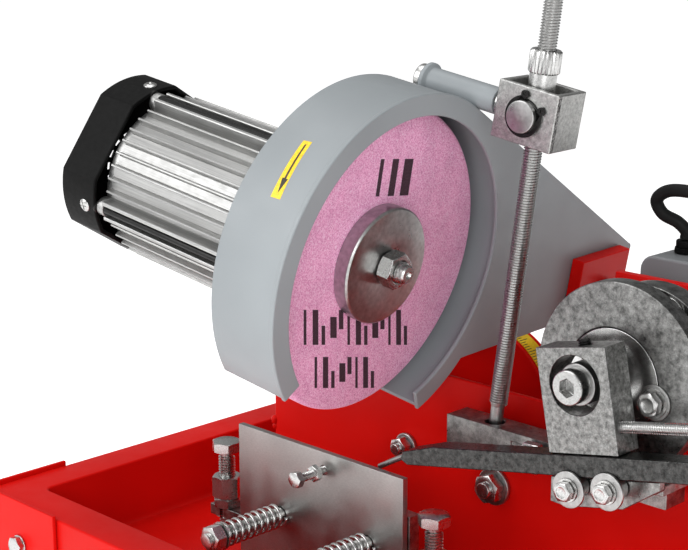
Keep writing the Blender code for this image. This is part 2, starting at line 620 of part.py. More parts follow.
def make_motor(head):
    body = prism(motor_outline(), MOTOR_REAR, MOTOR_FRONT, "X")
    flange = rod(40.0, MOTOR_FRONT - 1, GUARD_BACK - GAP, "X", sides=40)
    nose = rod(21.0, GUARD_BACK - 2, GUARD_BACK + 1.5, "X")
    bore = rod(8.5, MOTOR_REAR - 10, 0, "X")
    piece("motor_body", head, "aluminium", [body, flange, nose], [bore], sharp=20.0)
    shield_rear, shield_front = MOTOR_REAR - 6.5, MOTOR_REAR - GAP
    shield = [rod(52.0, shield_rear, shield_front, "X", sides=48)]
    for spot in around([(TIE_BOLT_R - 3.5, 45 + 90 * step) for step in range(4)], MOTOR_TURN):
        shield.append(rod(6.5, shield_rear, shield_front, "X", spot))
    piece("motor_end_shield", head, "aluminium", shield, [rod(8.6, -200, -180, "X", sides=24)])
    shell = prism(flatted_circle(COVER_R, COVER_HALF, 8), COVER_REAR, COVER_FRONT, "X")
    inner = flatted_circle(COVER_R - 3, COVER_HALF - 3, 8)
    hollow = prism(inner, COVER_REAR + 3, COVER_FRONT + 10, "X")
    cover_cuts = [hollow]
    for spot in arc(24.0, 0, 315, 7) + arc(12.0, 0, 270, 3):
        cover_cuts.append(rod(3.2, COVER_REAR - 5, COVER_REAR + 5, "X", spot, 6))
    piece("fan_cover", head, "black_plastic", [shell], cover_cuts)
    blades = [rod(9.0, -216.0, -193.0, "X"), rod(36.0, -197.0, -194.0, "X", sides=24)]
    for step in range(6):
        angle = radians(60 * step + 15)
        side = Vector((-sin(angle), cos(angle))) * 1.2
        out = Vector((cos(angle), sin(angle)))
        tip, root = out * 34, out * 6
        corners = [tuple(root + side), tuple(tip + side), tuple(tip - side), tuple(root - side)]
        blades.append(prism(corners, -214.0, -195.0, "X"))
    piece("fan", head, "black_plastic", blades, [rod(5.3, -230, -180, "X")])


def make_wheel(head):
    wheel_back = WHEEL_FACE - WHEEL_WIDTH
    shaft = rod(8.0, MOTOR_REAR - 1, 14.5, "X")
    threaded_end = rod(6.9, 14.0, 31.5, "X", sides=24)
    tail = rod(5.0, -217.0, MOTOR_REAR, "X")
    flange = rod(38.0, wheel_back - 5.2, wheel_back - GAP, "X", sides=32)
    hub = rod(9.8, wheel_back - 1.0, -1.0, "X")
    piece("arbor", head, "bright_steel", [shaft, threaded_end, tail, flange, hub])
    edge = [(WHEEL_R - 3.0, WHEEL_FACE), (10.2, WHEEL_FACE), (10.2, wheel_back), (WHEEL_R, wheel_back)]
    edge.append((WHEEL_R, WHEEL_FACE - 3.0))
    piece("grinding_wheel", head, "grit", [turned(edge, "X", sides=48)])
    inside = WHEEL_FACE + GAP
    outer = [(38.0, inside), (38.0, 13.0), (36.8, 14.2), (8.4, 14.2), (8.4, inside)]
    piece("outer_flange", head, "bright_steel", [turned(outer, "X", sides=36)])
    nut = hexagon(21.0, 14.8, 25.0, "X")
    piece("wheel_nut", head, "bright_steel", [nut], [rod(7.3, 10, 40, "X")])


# ---- yoke, trunnion and lift rod ----


def make_yoke(head):
    swivel = frame("yoke_axis", head, (YOKE_A, YOKE_B, YOKE_C))
    half_a, half_b, half_c, wall = 22.0, 15.0, 18.0, 4.0
    ring = block((-half_a, -half_b, -half_c), (half_a, half_b, half_c))
    inside = block((-half_a + wall, -half_b + wall, -30), (half_a - wall, half_b - wall, 30))
    stem_end = -YOKE_A - 21.0 - 6.0
    stem = rod(6.0, stem_end, -half_a + 1, "X")
    shoulder = rod(9.5, -half_a - 5, -half_a + 1, "X")
    swell = rod(9.0, stem_end, stem_end + 5.5, "X")
    cuts = [inside, rod(10.3, -40, 40, "Y")]
    piece("yoke", swivel, "zinc", [ring, stem, shoulder, swell], cuts)
    lean = frame("pin_axis", swivel, (0, 0, 0), turn_y=-ROD_LEAN)
    pin = [rod(10.0, -half_b - 5.0, half_b + 5.0, "Y"), block((-12.5, -10.6, -11.0), (12.5, 10.6, 11.0))]
    grooves = [sleeve(9.2, 12.0, -half_b - 2.0, -half_b - 0.6, "Y"), rod(8.8, -30, 30, "Z")]
    piece("yoke_pin", lean, "bright_steel", pin, grooves)
    clip = arc(12.8, 88, 388, 20) + arc(9.4, 388, 88, 20)
    ears = [rod(2.6, -half_b - 1.9, -half_b - 0.7, "Y", spot, 10) for spot in arc(13.6, 92, 384, 1)]
    piece("circlip", lean, "black_plastic", [prism(clip, -half_b - 1.9, -half_b - 0.7, "Y")] + ears)
    profile = [(8.5, -12.0), (8.5, 25.0), (9.9, 26.0), (9.9, 38.0), (9.0, 39.5), (6.3, 39.5), (6.3, -12.0)]
    piece("sleeve_nut", lean, "bright_steel", [turned(profile, "Z", sides=36)])
    lift = [(0.0, -205.0), (3.2, -205.0), (4.4, -203.5), (4.4, -193.0), (5.9, -191.0), (5.9, 118.0)]
    lift += [(4.9, 119.2), (0.0, 119.2)]
    piece("lift_rod", lean, "bright_steel", [turned(lift, "Z", sides=24)])


def main():
    clear_scene()
    centre_x, centre_y = (TRAY_LEFT + TRAY_RIGHT) / 2, (TRAY_FRONT + TRAY_BACK) / 2
    machine = frame("machine", None, (-centre_x, -centre_y, -LEG_FOOT))
    make_tray(machine)
    make_legs(machine)
    make_main_body(machine)
    make_motor_bracket(machine)
    make_clamp(machine)
    make_feed(machine)
    make_rollers(machine)
    make_lever(machine)
    make_camshaft(machine)
    make_lead(machine, make_gear_motor(machine))
    bracket = make_tilt_carrier(machine)
    make_pivot_shaft(bracket)
    pivot = frame("head_pivot", bracket, (0, PIVOT_B, PIVOT_C))
    head = frame("head", pivot, (0, -PIVOT_B, -PIVOT_C))
    make_guard(head)
    make_motor(head)
    make_wheel(head)
    make_yoke(head)


main()
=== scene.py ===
"""Looks for the band saw blade grinder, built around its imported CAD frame.

Lengths are in millimetres and angles in degrees, and each mesh is turned into metres as it is made.
A piece is laid out in one of the frames below: MACHINE is measured from the grinding datum, HEAD from
the wheel's centre with X along its axle, and the others from the joint that they are named after.
"""

import json
from math import acos, atan2, cos, degrees, hypot, pi, radians, sin, sqrt

import bmesh
import bpy
from mathutils import Matrix, Vector


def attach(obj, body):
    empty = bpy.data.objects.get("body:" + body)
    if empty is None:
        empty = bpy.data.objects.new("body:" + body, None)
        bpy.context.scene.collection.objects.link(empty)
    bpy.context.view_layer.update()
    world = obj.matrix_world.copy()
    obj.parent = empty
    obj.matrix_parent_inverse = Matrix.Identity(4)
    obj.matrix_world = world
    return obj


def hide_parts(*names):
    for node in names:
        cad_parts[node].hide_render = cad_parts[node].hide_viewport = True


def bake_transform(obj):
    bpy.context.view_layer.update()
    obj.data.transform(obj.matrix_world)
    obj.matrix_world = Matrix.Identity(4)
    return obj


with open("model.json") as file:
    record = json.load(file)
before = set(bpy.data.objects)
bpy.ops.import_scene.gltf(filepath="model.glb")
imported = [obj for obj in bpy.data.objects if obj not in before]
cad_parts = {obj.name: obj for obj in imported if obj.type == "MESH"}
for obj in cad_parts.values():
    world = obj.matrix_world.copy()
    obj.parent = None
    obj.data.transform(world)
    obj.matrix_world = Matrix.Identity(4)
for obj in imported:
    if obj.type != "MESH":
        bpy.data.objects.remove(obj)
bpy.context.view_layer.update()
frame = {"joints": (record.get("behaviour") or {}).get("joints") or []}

MM = 0.001
JOINTS = {joint["name"]: joint for joint in frame["joints"]}
FRAME_BODY = "machine_frame"


# ---- frames ----


def frame_on(origin, along, across):
    """A frame with X along one axis, Y across it and its origin in metres."""
    x = Vector(along).normalized()
    z = x.cross(Vector(across)).normalized()
    placed = Matrix((x, z.cross(x), z)).transposed().to_4x4()
    placed.translation = Vector(origin)
    return placed


def shifted(base, x, y, z, turn_y=0.0):
    """A frame moved inside another by millimetres, then turned about its own Y by degrees."""
    return base @ Matrix.Translation(Vector((x, y, z)) * MM) @ Matrix.Rotation(radians(turn_y), 4, "Y")


MACHINE = Matrix.Translation((-0.022, -0.150, 0.350))
HEAD = frame_on(JOINTS["arbor_spin"]["pos_m"], JOINTS["arbor_spin"]["axis"], JOINTS["pin_swing"]["axis"])
# Where the joints stand, in MACHINE's X, Y, Z, or in HEAD's A along the axle, B across it and C up.
YOKE_A, YOKE_B, YOKE_C, ROD_LEAN = 65.0, 60.5, 105.7, 2.68
CAM_X, CAM_Z, FEED_X, FEED_SLOPE = 168.0, -46.0, 160.5, 11.4
LEVER_X, LEVER_Y, LEVER_Z, ROD_FOOT_X = 95.0, 58.0, -118.0, 51.8
TILT_X, TILT_Z = -37.0, -139.0

YOKE = shifted(HEAD, YOKE_A, YOKE_B, YOKE_C)
PIN = shifted(YOKE, 0, 0, 0, -ROD_LEAN)
CRANK = shifted(MACHINE, CAM_X, 0, CAM_Z)
FEED = shifted(MACHINE, FEED_X, 0, CAM_Z, -FEED_SLOPE)
LEVER = shifted(MACHINE, LEVER_X, LEVER_Y, LEVER_Z)
CARRIER = shifted(MACHINE, TILT_X, 0, TILT_Z)

# Seats: the body that a piece rides on, and the frame that it is laid out in.
ON_FRAME, ON_HEAD, ON_SPINDLE = (FRAME_BODY, MACHINE), ("head", HEAD), ("spindle", HEAD)
ON_CRANK, ON_FEED, ON_CARRIER = ("crank", CRANK), ("feed", FEED), ("carrier", CARRIER)
ON_LEVER, ON_YOKE = ("lever", LEVER), ("yoke_body", YOKE)


def on_frame(x, y, z):
    """A seat on the machine's frame, at millimetres from the grinding datum."""
    return FRAME_BODY, shifted(MACHINE, x, y, z)


# ---- finishes ----

RANGE_SOCKETS = ("From Min", "From Max", "To Min", "To Max")


class Finish:
    """A material on one Principled shader. Its textures are laid out in the piece's own metres."""

    def __init__(self, name, colour, roughness, metallic=0.0, **sockets):
        self.made = bpy.data.materials.new(name)
        self.made.use_nodes = True
        self.tree = self.made.node_tree
        self.shader = self.tree.nodes["Principled BSDF"]
        self.put("Base Color", (*colour, 1.0))
        self.put("Roughness", roughness)
        self.put("Metallic", metallic)
        for socket, value in sockets.items():
            self.put(socket.replace("_", " ").title().replace("Ior", "IOR"), value)
        self.place = self.tree.nodes.new("ShaderNodeTexCoord").outputs["Object"]

    def put(self, socket, value):
        self.shader.inputs[socket].default_value = value

    def link(self, source, target):
        self.tree.links.new(source, target)

    def stretched(self, stretch):
        mapping = self.tree.nodes.new("ShaderNodeMapping")
        mapping.inputs["Scale"].default_value = stretch
        self.link(self.place, mapping.inputs["Vector"])
        return mapping.outputs["Vector"]

    def noise(self, scale, detail=3.0, roughness=0.55, stretch=(1.0, 1.0, 1.0)):
        texture = self.tree.nodes.new("ShaderNodeTexNoise")
        texture.inputs["Scale"].default_value = scale
        texture.inputs["Detail"].default_value = detail
        texture.inputs["Roughness"].default_value = roughness
        self.link(self.stretched(stretch), texture.inputs["Vector"])
        return texture.outputs[0]

    def grains(self, scale):
        texture = self.tree.nodes.new("ShaderNodeTexVoronoi")
        texture.inputs["Scale"].default_value = scale
        self.link(self.stretched((1.0, 1.0, 1.0)), texture.inputs["Vector"])
        return texture.outputs["Distance"]

    def ramp(self, source, stops):
        ramp = self.tree.nodes.new("ShaderNodeValToRGB")
        points = ramp.color_ramp.elements
        while len(points) < len(stops):
            points.new(0.5)
        for point, (where, colour) in zip(points, stops):
            point.position = where
            point.color = (*colour, 1.0)
        self.link(source, ramp.inputs["Fac"])
        return ramp.outputs["Color"]

    def multiplied(self, first, second, share):
        mix = self.tree.nodes.new("ShaderNodeMix")
        mix.data_type = "RGBA"
        mix.blend_type = "MULTIPLY"
        factor, a, b, result = mix.inputs[0], mix.inputs[6], mix.inputs[7], mix.outputs[2]
        factor.default_value = share
        self.link(first, a)
        self.link(second, b)
        return result

    def tint(self, source):
        self.link(source, self.shader.inputs["Base Color"])

    def roughen(self, source, low, high):
        """Roughness from low to high over the middle of the source's own range."""
        spread = self.tree.nodes.new("ShaderNodeMapRange")
        for socket, value in zip(RANGE_SOCKETS, (0.3, 0.7, low, high)):
            spread.inputs[socket].default_value = value
        self.link(source, spread.inputs["Value"])
        self.link(spread.outputs["Result"], self.shader.inputs["Roughness"])

    def bump(self, source, strength, depth_mm):
        """Adds a bump on top of any that is there."""
        bump = self.tree.nodes.new("ShaderNodeBump")
        bump.inputs["Strength"].default_value = strength
        bump.inputs["Distance"].default_value = depth_mm * MM
        self.link(source, bump.inputs["Height"])
        normal = self.shader.inputs["Normal"]
        if normal.is_linked:
            self.link(normal.links[0].from_socket, bump.inputs["Normal"])
        self.link(bump.outputs["Normal"], normal)


def grey(level):
    return (level, level, level * 0.985)


def paint(name, colour, roughness, gloss):
    """Sprayed enamel: a faint orange peel, a little dust and a slow drift in shade."""
    made = Finish(name, colour, roughness, specular_ior_level=gloss)
    drift = made.noise(9.0, 2.0)
    darker = tuple(channel * 0.86 for channel in colour)
    lighter = tuple(min(1.0, channel * 1.07) for channel in colour)
    made.tint(made.ramp(drift, [(0.3, darker), (0.7, lighter)]))
    made.roughen(made.noise(70.0, 4.0), roughness * 0.85, roughness * 1.25)
    made.bump(made.noise(420.0, 2.0), 0.12, 0.25)
    return made


def plated(name, low, high, patch, roughness, grain=0.12):
    """Zinc plate with its cloudy patches, and a fine speckle over them."""
    made = Finish(name, grey(high), roughness, 1.0)
    cloud = made.ramp(made.noise(patch, 6.0, 0.68), [(0.34, grey(low)), (0.62, grey(high))])
    speckle = made.ramp(made.noise(1500.0, 2.0), [(0.3, grey(0.55)), (0.7, grey(1.0))])
    made.tint(made.multiplied(cloud, speckle, 0.75))
    made.roughen(made.noise(patch * 1.7, 5.0), roughness * 0.75, roughness * 1.35)
    made.bump(made.noise(900.0, 3.0), grain, 0.12)
    return made


def turned_steel(name, level, roughness, marks=900.0):
    """Bright steel with fine tool marks."""
    made = Finish(name, grey(level), roughness, 1.0)
    fine = made.noise(marks, 3.0, 0.6)
    shade = made.ramp(fine, [(0.25, grey(level * 0.72)), (0.75, grey(min(1.0, level * 1.12)))])
    made.tint(shade)
    made.roughen(made.noise(90.0, 4.0), roughness * 0.8, roughness * 1.35)
    made.bump(fine, 0.12, 0.05)
    return made


def abrasive():
    """Bonded pink grain: crystals of lighter and darker pink, with open pores."""
    made = Finish("pink_abrasive", (0.70, 0.25, 0.46), 0.92, sheen_weight=0.15)
    crystals = made.ramp(
        made.noise(1050.0, 3.0, 0.75),
        [(0.32, (0.60, 0.20, 0.38)), (0.5, (0.92, 0.40, 0.66)), (0.68, (1.0, 0.76, 0.89))],
    )
    clouds = made.ramp(made.noise(60.0, 3.0), [(0.3, (0.86, 0.84, 0.86)), (0.7, (1.0, 1.0, 1.0))])
    made.tint(made.multiplied(crystals, clouds, 1.0))
    made.bump(made.grains(1100.0), 0.5, 0.35)
    made.bump(made.noise(2200.0, 3.0), 0.35, 0.2)
    return made


def extrusion():
    """Drawn aluminium: pale and satin, with die lines along the extrusion's X."""
    made = Finish("extruded_aluminium", grey(0.42), 0.42, 1.0)
    lines = made.noise(1400.0, 2.0, 0.6, (0.015, 1.0, 1.0))
    made.tint(made.ramp(lines, [(0.3, grey(0.35)), (0.7, grey(0.49))]))
    made.roughen(made.noise(160.0, 4.0), 0.36, 0.50)
    made.bump(lines, 0.2, 0.05)
    made.bump(made.noise(1300.0, 2.0), 0.08, 0.08)
    return made


def brushed_plate():
    """Ground steel plate: a fine grain drawn a little along X, with slow patches."""
    made = Finish("ground_plate", grey(0.42), 0.42, 1.0)
    lines = made.noise(1300.0, 3.0, 0.6, (0.35, 1.0, 1.0))
    patches = made.ramp(made.noise(16.0, 4.0), [(0.3, grey(0.40)), (0.7, grey(0.54))])
    fine = made.ramp(lines, [(0.25, grey(0.72)), (0.75, grey(1.0))])
    made.tint(made.multiplied(patches, fine, 0.9))
    made.roughen(made.noise(40.0, 4.0), 0.30, 0.46)
    made.bump(lines, 0.18, 0.06)
    return made


def moulded_black(name, level, roughness):
    """A dull plastic or rubber with a fine moulded grain."""
    made = Finish(name, grey(level), roughness, specular_ior_level=0.1)
    made.tint(made.ramp(made.noise(35.0, 3.0), [(0.3, grey(level * 0.8)), (0.7, grey(level * 1.4))]))
    made.roughen(made.noise(300.0, 3.0), roughness * 0.9, roughness * 1.15)
    made.bump(made.noise(1600.0, 2.0), 0.25, 0.12)
    return made


def cut_edge():
    """A torch-cut plate edge: dark, pitted zinc."""
    made = Finish("cut_edge", grey(0.2), 0.55, 1.0)
    made.tint(made.ramp(made.noise(700.0, 4.0, 0.8), [(0.42, grey(0.02)), (0.6, grey(0.45))]))
    made.bump(made.noise(650.0, 4.0, 0.8), 1.0, 0.8)
    return made


def ink(name, colour, roughness):
    made = Finish(name, colour, roughness)
    worn = tuple(min(1.0, channel * 1.6 + 0.01) for channel in colour)
    made.tint(made.ramp(made.noise(900.0, 3.0), [(0.35, colour), (0.75, worn)]))
    made.bump(made.noise(1200.0, 2.0), 0.15, 0.05)
    return made


RED = paint("red_enamel", (0.70, 0.006, 0.004), 0.34, 0.08)
BLUE_GREY = paint("blue_grey_enamel", (0.30, 0.325, 0.34), 0.38, 0.30)
MOTOR_GREY = paint("gear_motor_enamel", (0.25, 0.26, 0.27), 0.5, 0.4)
MOTTLED = plated("mottled_zinc", 0.20, 0.48, 160.0, 0.36)
GRAINY = plated("grainy_zinc", 0.38, 0.62, 420.0, 0.42, 0.3)
FACED_PLATE = turned_steel("faced_plate", 0.66, 0.22, 200.0)
BAR_ZINC = plated("bar_zinc", 0.03, 0.11, 260.0, 0.32)
BLOCK_ZINC = plated("block_zinc", 0.12, 0.40, 330.0, 0.34, 0.2)
DISC_ZINC = plated("disc_zinc", 0.10, 0.34, 210.0, 0.34, 0.2)
STEEL = turned_steel("bright_steel", 0.60, 0.25)
FACED_BRIGHT = turned_steel("washer_steel", 0.46, 0.33, 300.0)
FACED = turned_steel("faced_steel", 0.36, 0.30, 260.0)
SOCKET_STEEL = turned_steel("socket_steel", 0.46, 0.24)
THREAD = turned_steel("thread_steel", 0.50, 0.30)
PLATE = brushed_plate()
ALUMINIUM = extrusion()
PINK = abrasive()
BLACK = moulded_black("moulded_black", 0.003, 0.5)
BLACK_OXIDE = turned_steel("black_oxide", 0.035, 0.38)
RUBBER = moulded_black("lead_sheath", 0.012, 0.5)
EDGE = cut_edge()
STENCIL = ink("stencil_ink", (0.035, 0.012, 0.022), 0.85)
YELLOW = ink("printed_yellow", (0.92, 0.50, 0.010), 0.45)
BLACK_INK = ink("printed_black", (0.02, 0.018, 0.01), 0.5)


# ---- shapes, each a closed mesh ----


def on_axis(u, v, along, axis):
    """(u, v) are the two coordinates across the axis, in X, Y, Z order."""
    return {"X": (along, u, v), "Y": (u, along, v), "Z": (u, v, along)}[axis]


def polar(radius, angle, along, axis, centre=(0.0, 0.0)):
    """The point at a radius and an angle about the axis through centre."""
    return on_axis(centre[0] + radius * cos(angle), centre[1] + radius * sin(angle), along, axis)


def mesh_from(points, faces):
    """A mesh from points in millimetres and faces that name them by number."""
    shape = bmesh.new()
    corners = [shape.verts.new(Vector(point) * MM) for point in points]
    for face in faces:
        shape.faces.new([corners[i] for i in face])
    bmesh.ops.recalc_face_normals(shape, faces=shape.faces)
    mesh = bpy.data.meshes.new("shape")
    shape.to_mesh(mesh)
    shape.free()
    return mesh


def walls(rings, sides, closed=False):
    """The faces between rings of points, all with as many sides; closed joins the last to the first."""
    faces = []
    for ring in range(rings if closed else rings - 1):
        near, far = ring * sides, (ring + 1) % rings * sides
        for step in range(sides):
            after = (step + 1) % sides
            faces.append((near + step, near + after, far + after, far + step))
    return faces


def caps(rings, sides):
    """The faces that close the first ring and the last."""
    last = (rings - 1) * sides
    return [tuple(range(sides)), tuple(range(last, last + sides))]


def prism(outline, start, end, axis):
    count = len(outline)
    points = [on_axis(u, v, along, axis) for along in (start, end) for u, v in outline]
    return mesh_from(points, caps(2, count) + walls(2, count))


def block(low, high):
    (x0, y0, z0), (x1, y1, z1) = low, high
    return prism([(x0, y0), (x1, y0), (x1, y1), (x0, y1)], z0, z1, "Z")


def softened(loop, reach):
    """The loop with each corner rounded, starting reach before it, except on the axis of a turning."""
    rounded, steps = [], 3
    for i, corner in enumerate(loop):
        before, here, after = Vector(loop[i - 1]), Vector(corner), Vector(loop[(i + 1) % len(loop)])
        if corner[0] == 0.0:
            rounded.append(corner)
            continue
        first = here + (before - here).normalized() * min(reach, (before - here).length * 0.45)
        last = here + (after - here).normalized() * min(reach, (after - here).length * 0.45)
        for step in range(steps + 1):
            t = step / steps
            rounded.append(tuple(first * (1 - t) ** 2 + here * 2 * t * (1 - t) + last * t**2))
    return rounded


def turned(profile, axis, centre=(0.0, 0.0), sides=64, soft=0.0):
    """The profile, a loop of (radius, along), turned about the axis through centre."""
    if soft:
        profile = softened(profile, soft)
    solid = profile[0][0] == 0.0
    rings = profile[1:-1] if solid else profile
    spins = [2 * pi * step / sides for step in range(sides)]
    points = [polar(radius, spin, along, axis, centre) for radius, along in rings for spin in spins]
    faces = walls(len(rings), sides, not solid)
    return mesh_from(points, faces + caps(len(rings), sides) if solid else faces)


def rod(radius, start, end, axis, centre=(0.0, 0.0), sides=48, soft=0.0):
    profile = [(0.0, start), (radius, start), (radius, end), (0.0, end)]
    return turned(profile, axis, centre, sides, soft)


def sleeve(inner, outer, start, end, axis, centre=(0.0, 0.0), sides=64, soft=0.0):
    profile = [(outer, start), (outer, end), (inner, end), (inner, start)]
    return turned(profile, axis, centre, sides, soft)


def arc(radius, first, last, steps, centre=(0.0, 0.0)):
    angles = [radians(first + (last - first) * i / steps) for i in range(steps + 1)]
    return [(centre[0] + radius * cos(a), centre[1] + radius * sin(a)) for a in angles]


def thread(radius, pitch, start, end, axis, centre=(0.0, 0.0), steps=18):
    """A screw thread, as one helical ridge from start to end, closed at both ends."""
    root = radius - 0.61 * pitch
    count = int((end - start) / pitch - 1) * steps
    points, faces = [], []
    for k in range(count + 1):
        angle = 2 * pi * k / steps
        along = start + pitch * k / steps
        for reach, lift in ((radius, 0.25), (radius, 0.42), (root, 0.75), (root, 0.92)):
            points.append(polar(reach, angle, along + lift * pitch, axis, centre))
    for k in range(count):
        here, there = 4 * k, 4 * (k + 1)
        for lane in range(3):
            faces.append((here + lane, there + lane, there + lane + 1, here + lane + 1))
        if k + steps < count:
            above = 4 * (k + steps)
            faces.append((here + 3, there + 3, above + 4, above))
    low, high = len(points), len(points) + 1
    points.append(on_axis(*centre, start, axis))
    points.append(on_axis(*centre, start + pitch * (count / steps + 1), axis))
    for k in range(steps):
        faces.append((low, 4 * k, 4 * (k + 1)))
    faces.append((low, 4 * steps, 3, 2, 1, 0))
    for k in range(count - steps, count):
        faces.append((high, 4 * (k + 1) + 3, 4 * k + 3))
    top, below = 4 * count, 4 * (count - steps) + 3
    faces.append((high, below, top, top + 1, top + 2, top + 3))
    return mesh_from(points, faces)


def hexagon(flats, start, end, axis, centre=(0.0, 0.0), turn=0.0):
    """A nut or a bolt's head, its corners turned off at both ends."""
    rim, steps = flats * 0.485, 48
    points = []
    for level in range(4):
        for step in range(steps):
            angle = 2 * pi * step / steps
            reach = flats / 2 / cos(angle % (pi / 3) - pi / 6)
            cut = 0.05 + 0.5 * max(0.0, reach - rim)
            along = (start, start + cut, end - cut, end)[level]
            if level in (0, 3):
                reach = min(reach, rim)
            points.append(polar(reach, angle + radians(turn), along, axis, centre))
    return mesh_from(points, walls(4, steps) + caps(4, steps))


def coil(radius, wire, start, end, turns):
    """A helical spring along Y, closed at both ends."""
    steps, sides = 28, 10
    total = int(turns * steps)
    points = []
    for i in range(total + 1):
        angle = 2 * pi * i / steps
        along = start + (end - start) * i / total
        for side in range(sides):
            swing = 2 * pi * side / sides
            reach = radius + wire * cos(swing)
            points.append((reach * cos(angle), along + wire * sin(swing), reach * sin(angle)))
    return mesh_from(points, walls(total + 1, sides) + caps(total + 1, sides))


# ---- one visible piece, made of shapes joined and cut ----


def add_object(name, data):
    """A new object in the scene, from a mesh, a curve, a light or a camera."""
    made = bpy.data.objects.new(name, data)
    bpy.context.collection.objects.link(made)
    return made


def settled(made):
    """Puts what the modifiers make into the mesh itself."""
    graph = bpy.context.evaluated_depsgraph_get()
    mesh = bpy.data.meshes.new_from_object(
        made.evaluated_get(graph), preserve_all_data_layers=True, depsgraph=graph
    )
    made.modifiers.clear()
    made.data = mesh


def piece(name, seat, finish, shapes, cuts=(), bevel=0.0, node=None, sharp=38.0):
    """The shapes joined together, less the cuts, with their edges rounded by bevel."""
    body, place = seat
    made = add_object(name, shapes[0])
    tools = []
    for operation, meshes in (("UNION", shapes[1:]), ("DIFFERENCE", cuts)):
        for mesh in meshes:
            tool = add_object(name + "_tool", mesh)
            step = made.modifiers.new("step", "BOOLEAN")
            step.operation = operation
            step.object = tool
            step.solver = "EXACT"
            tools.append(tool)
    if bevel:
        rounding = made.modifiers.new("edges", "BEVEL")
        rounding.width = bevel * MM
        rounding.segments = 3
        rounding.limit_method = "ANGLE"
        rounding.angle_limit = radians(32)
        rounding.use_clamp_overlap = False
    made.data.shade_smooth()
    settled(made)
    for tool in tools:
        bpy.data.objects.remove(tool)
    made.data.set_sharp_from_angle(angle=radians(sharp))
    if bevel:
        made.modifiers.new("flats", "WEIGHTED_NORMAL").keep_sharp = True
        settled(made)
    made.data.materials.clear()
    made.data.materials.append(finish.made)
    made.matrix_world = place
    if body:
        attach(made, body)
    if node:
        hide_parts(node)
    return made


# ---- tray, legs and body ----

TRAY_LEFT, TRAY_RIGHT, TRAY_FRONT, TRAY_BACK = -288.0, 332.0, -110.0, 410.0
RIM_TOP, RIM_WIDTH, TRAY_DEPTH, SHEET, GAP = -200.0, 30.0, 52.0, 3.0, 0.3
FLOOR_TOP = RIM_TOP - TRAY_DEPTH + SHEET
LEG_FOOT, LEG_TOP, LEG_BOLT_INSET, LEG_BOLT_Z = -350.0, -197.0, 45.0, -230.0
LEG_FRONT_FLANGE, LEG_SIDE_FLANGE = 90.0, 74.0
PANEL_Y, PANEL_TOP, PANEL_LEFT, PANEL_RIGHT = 78.0, -94.0, -180.0, 270.0
DISC_FRONT, DISC_BACK = 150.0, 172.0


def rounded_box(left, right, front, back, corner):
    """A rectangle's outline with round corners, as a loop of (x, y)."""
    loop = []
    for x, y, first in ((right, back, 0), (left, back, 90), (left, front, 180), (right, front, 270)):
        centre = (x - corner * (1 if x == right else -1), y - corner * (1 if y == back else -1))
        loop += arc(corner, first, first + 90, 6, centre)
    return loop


def rim_loop(inset, corner):
    left, right = TRAY_LEFT + inset, TRAY_RIGHT - inset
    return rounded_box(left, right, TRAY_FRONT + inset, TRAY_BACK - inset, corner)


def make_tray():
    """The pan's section, pressed from one sheet, run round its rectangle from the floor to the skirt."""
    bottom, edge, fillet = RIM_TOP - TRAY_DEPTH, 1.6, 4.0
    quarter = [radians(15 * i) for i in range(7)]
    loops = []
    for t in quarter[::-1]:
        loops.append((RIM_WIDTH + fillet * (1 - cos(t)), FLOOR_TOP + fillet * (1 - sin(t)), 7.0))
    loops += [(RIM_WIDTH - edge * (1 - cos(t)), RIM_TOP - edge * (1 - sin(t)), 7.0) for t in quarter]
    loops += [(edge * (1 - sin(t)), RIM_TOP - edge * (1 - cos(t)), 2.0) for t in quarter]
    channel = RIM_WIDTH - SHEET
    loops += [(0.0, bottom, 2.0), (SHEET, bottom, 1.0), (SHEET, RIM_TOP - SHEET, 1.0)]
    loops += [(channel, RIM_TOP - SHEET, 9.0), (channel, bottom, 9.0)]
    rings = [rim_loop(inset, corner) for inset, _, corner in loops]
    points = [(x, y, z) for ring, (_, z, _) in zip(rings, loops) for x, y in ring]
    sides = len(rings[0])
    pan = mesh_from(points, caps(len(rings), sides) + walls(len(rings), sides))
    piece("tray_pan", ON_FRAME, RED, [pan], node="tray")


CORNERS = (("front_left", -1, -1), ("front_right", 1, -1), ("rear_left", -1, 1), ("rear_right", 1, 1))


def make_legs():
    for name, side_x, side_y in CORNERS:
        x = TRAY_LEFT if side_x < 0 else TRAY_RIGHT
        y = TRAY_FRONT if side_y < 0 else TRAY_BACK
        outer = (x + side_x * (SHEET + GAP), y + side_y * (SHEET + GAP))
        inner = (x + side_x * GAP, y + side_y * GAP)
        end_x = outer[0] - side_x * LEG_FRONT_FLANGE
        end_y = outer[1] - side_y * LEG_SIDE_FLANGE
        outline = [outer, (end_x, outer[1]), (end_x, inner[1])]
        outline += [inner, (inner[0], end_y), (outer[0], end_y)]
        bolt_x = x - side_x * LEG_BOLT_INSET
        iron = prism(outline, LEG_FOOT, LEG_TOP, "Z")
        hole = rod(4.5, y - 12, y + 12, "Y", (bolt_x, LEG_BOLT_Z))
        piece("angle_leg_" + name, ON_FRAME, RED, [iron], [hole], 0.7, node="leg_" + name)
        make_leg_bolt(name, bolt_x, y, side_y)


def make_leg_bolt(name, x, y, side):
    """A hexagon bolt through leg and tray, its head outside and its nut inside."""
    centre = (x, LEG_BOLT_Z)
    head = y + side * (SHEET + 2 * GAP)
    inside = y - side * (SHEET + GAP)
    shapes = [
        hexagon(13.0, *sorted((head + side * 0.8, head + side * 5.5)), "Y", centre, 12.0),
        rod(7.6, *sorted((head, head + side * 1.2)), "Y", centre, soft=0.4),
        rod(4.0, *sorted((inside - side * 7.5, head)), "Y", centre),
        hexagon(13.0, *sorted((inside, inside - side * 6.5)), "Y", centre),
    ]
    piece("hex_bolt_" + name, ON_FRAME, STEEL, shapes, node="leg_bolt_" + name)


